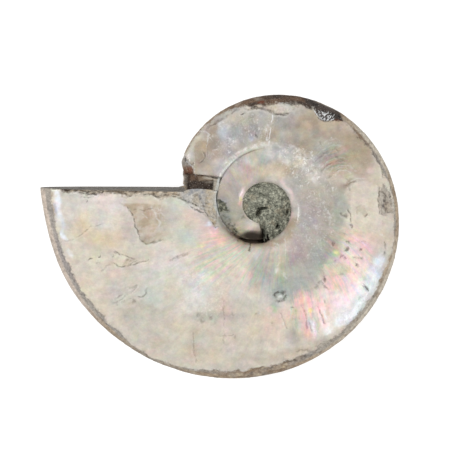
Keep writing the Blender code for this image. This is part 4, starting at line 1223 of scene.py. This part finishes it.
def build_mouth_fill(finish):
    """The rock that fills the chamber: a prism with a sawn top, just inside the shell's wall."""
    outline = mouth_outline(FILL_INSET)
    top = settle(outline)
    bottom = settle(outline + np.array((0, -FILL_DEPTH, 0)))
    count = len(outline)
    faces = [tuple(range(count)), tuple(range(2 * count - 1, count - 1, -1))]
    faces += [(i, count + i, count + (i + 1) % count, (i + 1) % count) for i in range(count)]
    return mesh_object("mouth_rock", np.concatenate((top, bottom)), faces, finish, flat=True)


# Height of the sandstone's top and base over the coil's middle plane, and where its edge starts
MATRIX_LEVEL = 3.04 * MM
MATRIX_BASE = 1.2 * MM
MATRIX_START = math.radians(80)


def build_matrix(name, side, finish):
    """Sandstone in the umbilicus: a lumpy disc that laps onto the whorl before it."""
    rings, spokes = 46, 220
    turned = np.linspace(0, 2 * math.pi - 0.02, spokes)
    phase = MATRIX_START + turned
    radius = whorl_radius(phase)
    level = np.clip(MATRIX_LEVEL / radius, 0, HALF_BREADTH * 0.995)
    drop = 1 - (level / HALF_BREADTH) ** 2
    wall = CREST - (CREST - WALL_FOOT) * drop ** (1 / SHOULDER_POWER)
    reach = radius * wall + 0.22 * MM
    opening = smooth(turned + 0.12 * np.sin(turned * 31) + 0.06 * np.sin(turned * 83), 0.0, 0.42)
    reach = reach * (0.52 + 0.48 * opening)
    share = np.linspace(0, 1, rings + 1)[1:] ** 0.8
    distance = reach[:, None] * share[None, :]
    x = -np.cos(phase)[:, None] * distance
    y = -np.sin(phase)[:, None] * distance + UMBILICUS_SHIFT
    flat = np.stack((x, y), axis=-1)
    at = seen_at(settle(np.stack((x, y, np.full(x.shape, MATRIX_LEVEL)), axis=-1)))
    seed = 500 if side > 0 else 700
    grain = fractal(flat, 0.55 * MM, seed, 3)
    lump = fractal(flat, 2.2 * MM, seed + 5, 3)
    z = MATRIX_LEVEL + 0.20 * MM * lump + 0.13 * MM * grain
    if side > 0:
        pit = strongest(at, 0, PITS)
        crevice = soft_ellipse(at, 256.5, 236.8, 8, 4.4, 0, 0.5, 1.35)
        heap = soft_ellipse(at, 266, 224, 9, 10, 0, 0.4)
        z = z - 1.7 * MM * pit - 1.9 * MM * crevice + 0.25 * MM * heap * (1 - crevice)
        ridge = smooth(np.abs(noise(flat @ np.array(((0.8, 0.3), (-0.6, 0.9))), 1.3 * MM, 577)), 0.0, 0.25)
        z = z - 0.16 * MM * (1 - ridge) * smooth(at[..., 0] + at[..., 1], 470, 490)
    else:
        z = z - 0.5 * MM * smooth(fractal(flat, 3.0 * MM, 811, 2), 0.3, 0.6)
    top = settle(np.stack((x, y, z * side), axis=-1))
    base = settle(np.stack((x, y, np.full(x.shape, MATRIX_BASE * side)), axis=-1))[:, -1]
    hub_top = settle(np.array((0, UMBILICUS_SHIFT, MATRIX_LEVEL * side)))
    hub_base = settle(np.array((0, UMBILICUS_SHIFT, MATRIX_BASE * side)))
    vertices = np.concatenate((top.reshape(-1, 3), base, hub_top[None], hub_base[None]))
    ids = np.arange(spokes * rings).reshape(spokes, rings)
    base_ids = np.arange(spokes) + spokes * rings
    top_hub, base_hub = len(vertices) - 2, len(vertices) - 1
    ring = np.vstack((ids, ids[:1]))
    base_ring = np.append(base_ids, base_ids[0])
    faces = [tuple(q) for q in quads(ring)]
    faces += [(ring[i, 0], ring[i + 1, 0], top_hub) for i in range(spokes)]
    faces += [(ring[i, -1], base_ring[i], base_ring[i + 1], ring[i + 1, -1]) for i in range(spokes)]
    faces += [(base_ring[i], base_hub, base_ring[i + 1]) for i in range(spokes)]
    return mesh_object(name, vertices, faces, finish)


# ---------------------------------------------------------------- materials
class Graph:
    """A short way to write a material's nodes."""

    def __init__(self, name):
        self.material = bpy.data.materials.new(name)
        self.material.use_nodes = True
        self.tree = self.material.node_tree
        self.shader = self.tree.nodes["Principled BSDF"]

    def link(self, value, socket):
        if isinstance(value, bpy.types.NodeSocket):
            self.tree.links.new(value, socket)
        elif isinstance(value, tuple) and len(value) == 3 and socket.type == "RGBA":
            socket.default_value = (*value, 1.0)
        else:
            socket.default_value = value

    def finish(self, **inputs):
        """Sets or links the shader's inputs, whose names are written with _ for a space."""
        for name, value in inputs.items():
            self.link(value, self.shader.inputs[name.replace("_", " ")])
        return self.material

    def node(self, kind, inputs, **settings):
        made = self.tree.nodes.new("ShaderNode" + kind)
        for name, value in settings.items():
            setattr(made, name, value)
        for socket, value in inputs.items():
            self.link(value, made.inputs[socket])
        return made.outputs

    def attribute(self, name, output):
        return self.node("Attribute", {}, attribute_name=name)[output]

    def place(self):
        return self.node("TexCoord", {})["Object"]

    def noise(self, place, scale, detail, roughness):
        inputs = {"Vector": place, "Scale": scale, "Detail": detail, "Roughness": roughness}
        return self.node("TexNoise", inputs)["Fac"]

    def split(self, vector):
        parts = self.node("SeparateXYZ", {"Vector": vector})
        return [parts["X"], parts["Y"], parts["Z"]]

    def channels(self, name):
        return self.split(self.attribute(name, "Vector")) + [self.attribute(name, "Alpha")]

    def pearl(self, place, scale, amount):
        """A soft play of pink, green, yellow and blue around white, to multiply with."""
        inputs = {"Vector": place, "Scale": scale, "Detail": 2.0, "Distortion": 0.6}
        swirl = self.node("TexNoise", inputs)["Color"]
        low, high = 1 - 0.55 * amount, 1 + 0.55 * amount
        inputs = {6: swirl, 7: (0, 0, 0), 8: (1, 1, 1), 9: (low, low, low), 10: (high, high, high)}
        return self.node("MapRange", inputs, data_type="FLOAT_VECTOR", clamp=False)[1]

    def math(self, operation, *values):
        return self.node("Math", dict(enumerate(values)), operation=operation)[0]

    def times(self, first, second):
        return self.math("MULTIPLY", first, second)

    def plus(self, first, second):
        return self.math("ADD", first, second)

    def minus(self, first, second):
        return self.math("SUBTRACT", first, second)

    def most(self, first, second):
        return self.math("MAXIMUM", first, second)

    def spread(self, value, low, high, to_low=0.0, to_high=1.0):
        inputs = {"Value": value, "From Min": low, "From Max": high, "To Min": to_low, "To Max": to_high}
        return self.node("MapRange", inputs)["Result"]

    def blend(self, share, first, second, kind="MIX"):
        return self.node("Mix", {0: share, 6: first, 7: second}, data_type="RGBA", blend_type=kind)[2]

    def tone(self, colour, factor, share=1.0):
        """Multiplies a colour by a factor or another colour."""
        return self.blend(share, colour, factor, "MULTIPLY")

    def ramp(self, value, stops):
        made = self.tree.nodes.new("ShaderNodeValToRGB")
        self.link(value, made.inputs["Fac"])
        elements = made.color_ramp.elements
        for index, (position, colour) in enumerate(stops):
            element = elements[index] if index < 2 else elements.new(position)
            element.position = position
            element.color = (*colour, 1.0)
        return made.outputs["Color"]

    def bump(self, height, distance):
        return self.node("Bump", {"Height": height, "Distance": distance, "Strength": 1.0})["Normal"]


def nacre_material():
    g = Graph("nacre_and_stone")
    place = g.place()
    tint, rock, lie = (g.attribute(name, "Vector") for name in ("tint", "rock", "lie"))
    bare = g.attribute("bare", "Fac")
    fan, frosted, dark_line_and_shadow = g.split(g.attribute("ways", "Vector"))
    lost, plate, dirt = g.split(g.attribute("flakes", "Vector"))

    fine = g.noise(place, 2600, 4, 0.65)
    medium = g.noise(place, 700, 4, 0.6)
    growth = g.noise(lie, 3.4, 4, 0.62)
    growth_fine = g.noise(lie, 9.0, 3, 0.6)
    jitter = g.spread(g.noise(place, 1900, 3, 0.6), 0.25, 0.75, -0.9, 0.9)

    # Nacre: its own tint, broken by pearly patches, streaks along the growth lines and fine scales
    lost_mask = g.spread(g.plus(lost, jitter), -0.5, 0.5)
    plate_mask = g.spread(g.plus(plate, jitter), -0.5, 0.5)
    colour = g.blend(g.times(plate_mask, 0.80), tint, tuple(linear("cream") * 1.09))
    colour = g.blend(g.times(lost_mask, 0.9), colour, g.tone(colour, (0.84, 0.80, 0.77)))
    for low, high, where, scale, amount in ((0.13, 0.30, place, 330, 1.0), (0.18, 0.38, place, 1000, 0.8),
                                            (0.12, 0.60, lie, 2.2, 0.9), (0.16, 0.16, place, 2300, 0.6)):
        share = g.spread(fan, 0, 1, low, high) if high > low else low
        colour = g.tone(colour, g.pearl(where, scale, amount), share)
    colour = g.tone(colour, g.spread(g.noise(place, 150, 3, 0.6), 0.3, 0.7, 0.955, 1.04))
    scuffed = g.spread(frosted, 0, 0.7)
    for uneven, low, high in ((g.noise(place, 260, 3, 0.6), 0.87, 1.12), (fine, 0.88, 1.12)):
        colour = g.blend(scuffed, colour, g.tone(colour, g.spread(uneven, 0.3, 0.7, low, high)))
    colour = g.tone(colour, g.spread(medium, 0.3, 0.7, 0.895, 1.085))
    colour = g.tone(colour, g.spread(fine, 0.25, 0.75, 0.94, 1.05))
    streak = g.ramp(growth, ((0.36, (0.78, 0.92, 0.84)), (0.44, (0.98, 1.0, 0.90)), (0.50, (1.04, 1.0, 0.94)),
                             (0.57, (1.08, 0.90, 0.88)), (0.66, (0.88, 0.95, 1.0))))
    colour = g.blend(g.spread(fan, 0, 1, 0.08, 1.0), colour, g.tone(colour, streak))
    colour = g.tone(colour, g.spread(growth_fine, 0.3, 0.7, 0.96, 1.03))

    # Pale scratches, small stains and the film of matrix beside the seam
    scratch = g.spread(g.noise(place, 1300, 5, 0.8), 0.555, 0.64)
    scratch = g.times(scratch, g.spread(frosted, 0, 1, 0.08, 0.9))
    murk = g.times(g.spread(g.noise(place, 800, 5, 0.75), 0.53, 0.40), g.spread(frosted, 0.1, 1, 0.0, 0.50))
    colour = g.blend(murk, colour, (0.30, 0.29, 0.27))
    colour = g.blend(g.times(scratch, 0.75), colour, (0.84, 0.83, 0.80))
    stain = g.times(g.spread(g.noise(place, 800, 4, 0.7), 0.60, 0.72), 0.22)
    colour = g.blend(stain, colour, (0.26, 0.23, 0.19))
    dirt_mask = g.spread(g.plus(dirt, g.times(jitter, 1.5)), -0.8, 1.2, 0.0, 0.95)
    film = ((0.40, (0.035, 0.038, 0.028)), (0.52, (0.15, 0.15, 0.11)), (0.66, (0.36, 0.36, 0.28)))
    dirt_shade = g.ramp(g.noise(place, 1700, 4, 0.7), film)
    colour = g.blend(dirt_mask, colour, dirt_shade)

    # Bare stone
    stone = g.tone(rock, g.spread(g.noise(place, 1500, 5, 0.75), 0.32, 0.68, 0.60, 1.32))
    grain = g.spread(g.noise(place, 4200, 3, 0.7), 0.58, 0.68)
    stone = g.blend(g.times(grain, 0.40), stone, (0.60, 0.56, 0.50))
    pit = g.spread(g.noise(place, 3000, 3, 0.7), 0.34, 0.26)
    stone = g.blend(g.times(pit, 0.5), stone, (0.05, 0.04, 0.035))
    ragged = g.plus(bare, g.times(jitter, 2.2))
    mask = g.spread(ragged, -1.2, 1.5)
    colour = g.blend(mask, colour, stone)
    edge = g.times(g.spread(ragged, -1.0, 0.1), g.spread(ragged, 1.4, 0.3))
    colour = g.blend(g.times(edge, 0.12), colour, (0.12, 0.10, 0.08))

    # Lines: dark in the crack, with a lip that catches the light. The last channel has white veins. The dark
    # also holds the painted shadow of the crevice and the whorl's tip
    crack, lip = dark_line_and_shadow, 0.0
    wiggle = g.spread(g.noise(place, 900, 2, 0.5), 0.25, 0.75, -1.0, 1.0)
    wear = g.spread(g.noise(place, 1100, 3, 0.6), 0.38, 0.56, 0.10, 1.0)
    for index, (side, strength) in enumerate(zip(g.channels("side"), g.channels("mark"))):
        reach = g.plus(g.plus(side, g.times(jitter, 0.55)), g.times(wiggle, 1.1))
        thin = g.spread(g.math("ABSOLUTE", reach), 1.5, 0.3)
        worn = g.times(strength, wear)
        if index == WHITE_CHANNEL:
            white = g.times(thin, worn)
            continue
        crack = g.most(crack, g.times(thin, worn))
        bright = g.spread(g.math("ABSOLUTE", g.minus(reach, 2.2)), 1.4, 0.3)
        lip = g.plus(lip, g.times(bright, worn))
    colour = g.blend(g.times(lip, 0.25), colour, (0.78, 0.75, 0.70))
    colour = g.blend(g.times(white, 0.85), colour, (0.72, 0.73, 0.73))
    colour = g.blend(g.times(crack, 0.92), colour, (0.035, 0.027, 0.020))

    dull = g.most(mask, dirt_mask)
    roughness = g.plus(g.spread(medium, 0.3, 0.7, 0.26, 0.44), g.times(scratch, 0.2))
    roughness = g.plus(g.plus(roughness, g.times(dull, 0.42)), g.times(crack, 0.4))
    clean = g.minus(1.0, g.most(dull, crack))

    height = g.times(fine, 0.22)
    height = g.plus(height, g.times(growth, g.spread(fan, 0, 1, 0.3, 1.2)))
    height = g.plus(height, g.times(growth_fine, g.spread(fan, 0, 1, 0.15, 0.6)))
    height = g.minus(height, g.times(crack, 1.5))
    height = g.plus(height, g.times(plate_mask, 0.8))
    height = g.minus(height, g.times(lost_mask, 0.8))
    height = g.plus(height, g.times(g.times(g.noise(place, 1900, 4, 0.7), 4.0), dull))
    return g.finish(Base_Color=colour, Roughness=roughness, Coat_Weight=g.times(clean, 0.45),
                    Coat_Roughness=0.12, Specular_IOR_Level=0.12, Normal=g.bump(height, 0.05 * MM))


def rock_material(name, colours, scale, contrast):
    """Grains of sand in a darker cement: colours run from the cement to the palest grains."""
    g = Graph(name)
    place = g.place()
    base = g.ramp(g.noise(place, scale, 6, 0.75), tuple(zip((0.34, 0.47, 0.62), colours)))
    cells = g.node("TexVoronoi", {"Vector": place, "Scale": scale * 3.2})
    base = g.tone(base, g.spread(g.split(cells["Color"])[0], 0.0, 1.0, 0.55, 1.40), contrast)
    base = g.tone(base, g.spread(cells["Distance"], 0.25, 0.65, 1.10, 0.70), contrast)
    # Dark holes, pale grains and brown stains: scale, noise that starts and fills them, strength, colour
    for finer, start, full, strength, colour in (
            (1.7, 0.40, 0.30, 0.85, (0.018, 0.018, 0.014)), (2.6, 0.59, 0.67, 0.6, colours[3]),
            (0.5, 0.56, 0.66, 0.30, (0.20, 0.13, 0.06))):
        share = g.spread(g.noise(place, scale * finer, 3, 0.7 if finer > 1 else 0.6), start, full)
        base = g.blend(g.times(share, strength), base, colour)
    height = g.minus(g.noise(place, scale * 2.4, 4, 0.7), g.times(cells["Distance"], 0.6))
    return g.finish(Base_Color=base, Roughness=0.9, Specular_IOR_Level=0.10, Normal=g.bump(height, 0.30 * MM))


def plain(name, colour, roughness):
    return Graph(name).finish(Base_Color=colour, Roughness=roughness)


# ---------------------------------------------------------------- the scene
nacre = nacre_material()
green_grains = ((0.085, 0.09, 0.065), (0.235, 0.24, 0.19), (0.42, 0.42, 0.335), (0.56, 0.55, 0.45))
grey_grains = ((0.085, 0.078, 0.068), (0.14, 0.131, 0.118), (0.20, 0.188, 0.172), (0.30, 0.285, 0.262))
brown_grains = ((0.07, 0.055, 0.045), (0.17, 0.15, 0.125), (0.30, 0.27, 0.23), (0.48, 0.45, 0.40))
sandstone = rock_material("umbilical_sandstone", green_grains, 780, 0.95)
mudstone = rock_material("mouth_stone", grey_grains, 500, 0.4)
wall_stone = rock_material("sawn_wall", brown_grains, 600, 0.5)

shell = build_shell(nacre, wall_stone)
fill = build_mouth_fill(mudstone)
upper_matrix = build_matrix("umbilical_sandstone_upper", 1, sandstone)
lower_matrix = build_matrix("umbilical_sandstone_lower", -1, sandstone)

for piece, node, slot in ((shell, "ammonite_shell", "nacre"), (fill, "mouth_matrix", "mouth_rock"),
                          (upper_matrix, "umbilical_matrix_upper", "umbilical_rock"),
                          (lower_matrix, "umbilical_matrix_lower", "umbilical_rock")):
    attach(piece, "root")
    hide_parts(node)

floor_mesh = bpy.data.meshes.new("floor")
floor_mesh.from_pydata([(-2, -2, 0), (2, -2, 0), (2, 2, 0), (-2, 2, 0)], [], [(0, 1, 2, 3)])
paper = plain("floor_paper", (0.50, 0.50, 0.50), 0.9)
lit_from_below = paper.node_tree.nodes["Principled BSDF"]
lit_from_below.inputs["Emission Color"].default_value = (1, 1, 1, 1)
lit_from_below.inputs["Emission Strength"].default_value = 0.62
floor_mesh.materials.append(paper)
floor = bpy.data.objects.new("floor", floor_mesh)
bpy.context.scene.collection.objects.link(floor)
floor.location.z = -0.02 * MM


def light(name, place, size, power, aim=(0, 0, 0.008), colour=(1, 1, 1)):
    lamp = bpy.data.lights.new(name, "AREA")
    lamp.shape = "DISK"
    lamp.size = size
    lamp.energy = power
    lamp.color = colour
    made = bpy.data.objects.new(name, lamp)
    bpy.context.scene.collection.objects.link(made)
    made.location = place
    made.rotation_euler = (Vector(aim) - Vector(place)).to_track_quat("-Z", "Y").to_euler()
    return made


light("left_light", (-0.55, 0.10, 0.38), 0.30, 2.3, colour=(0.97, 0.98, 1.0))
light("right_light", (0.50, -0.38, 0.42), 0.34, 2.2, colour=(1.0, 0.99, 0.98))
light("top_light", (0.05, 0.55, 0.60), 0.45, 1.1)

world = bpy.data.worlds.new("studio")
bpy.context.scene.world = world
world.use_nodes = True
world.node_tree.nodes["Background"].inputs["Color"].default_value = (1, 1, 1, 1)
world.node_tree.nodes["Background"].inputs["Strength"].default_value = 0.72

lens = bpy.data.cameras.new("camera")
lens.sensor_width = 36
lens.lens = 36 * (CAMERA_HEIGHT - FOCUS_HEIGHT) / (FRAME_UNITS * UNIT)
lens.clip_start = 0.01
lens.clip_end = 10
camera = bpy.data.objects.new("camera", lens)
bpy.context.scene.collection.objects.link(camera)
camera.location = (CAMERA_AT[0], CAMERA_AT[1], CAMERA_HEIGHT)
bpy.context.scene.camera = camera
bpy.context.scene.view_settings.view_transform = "Standard"
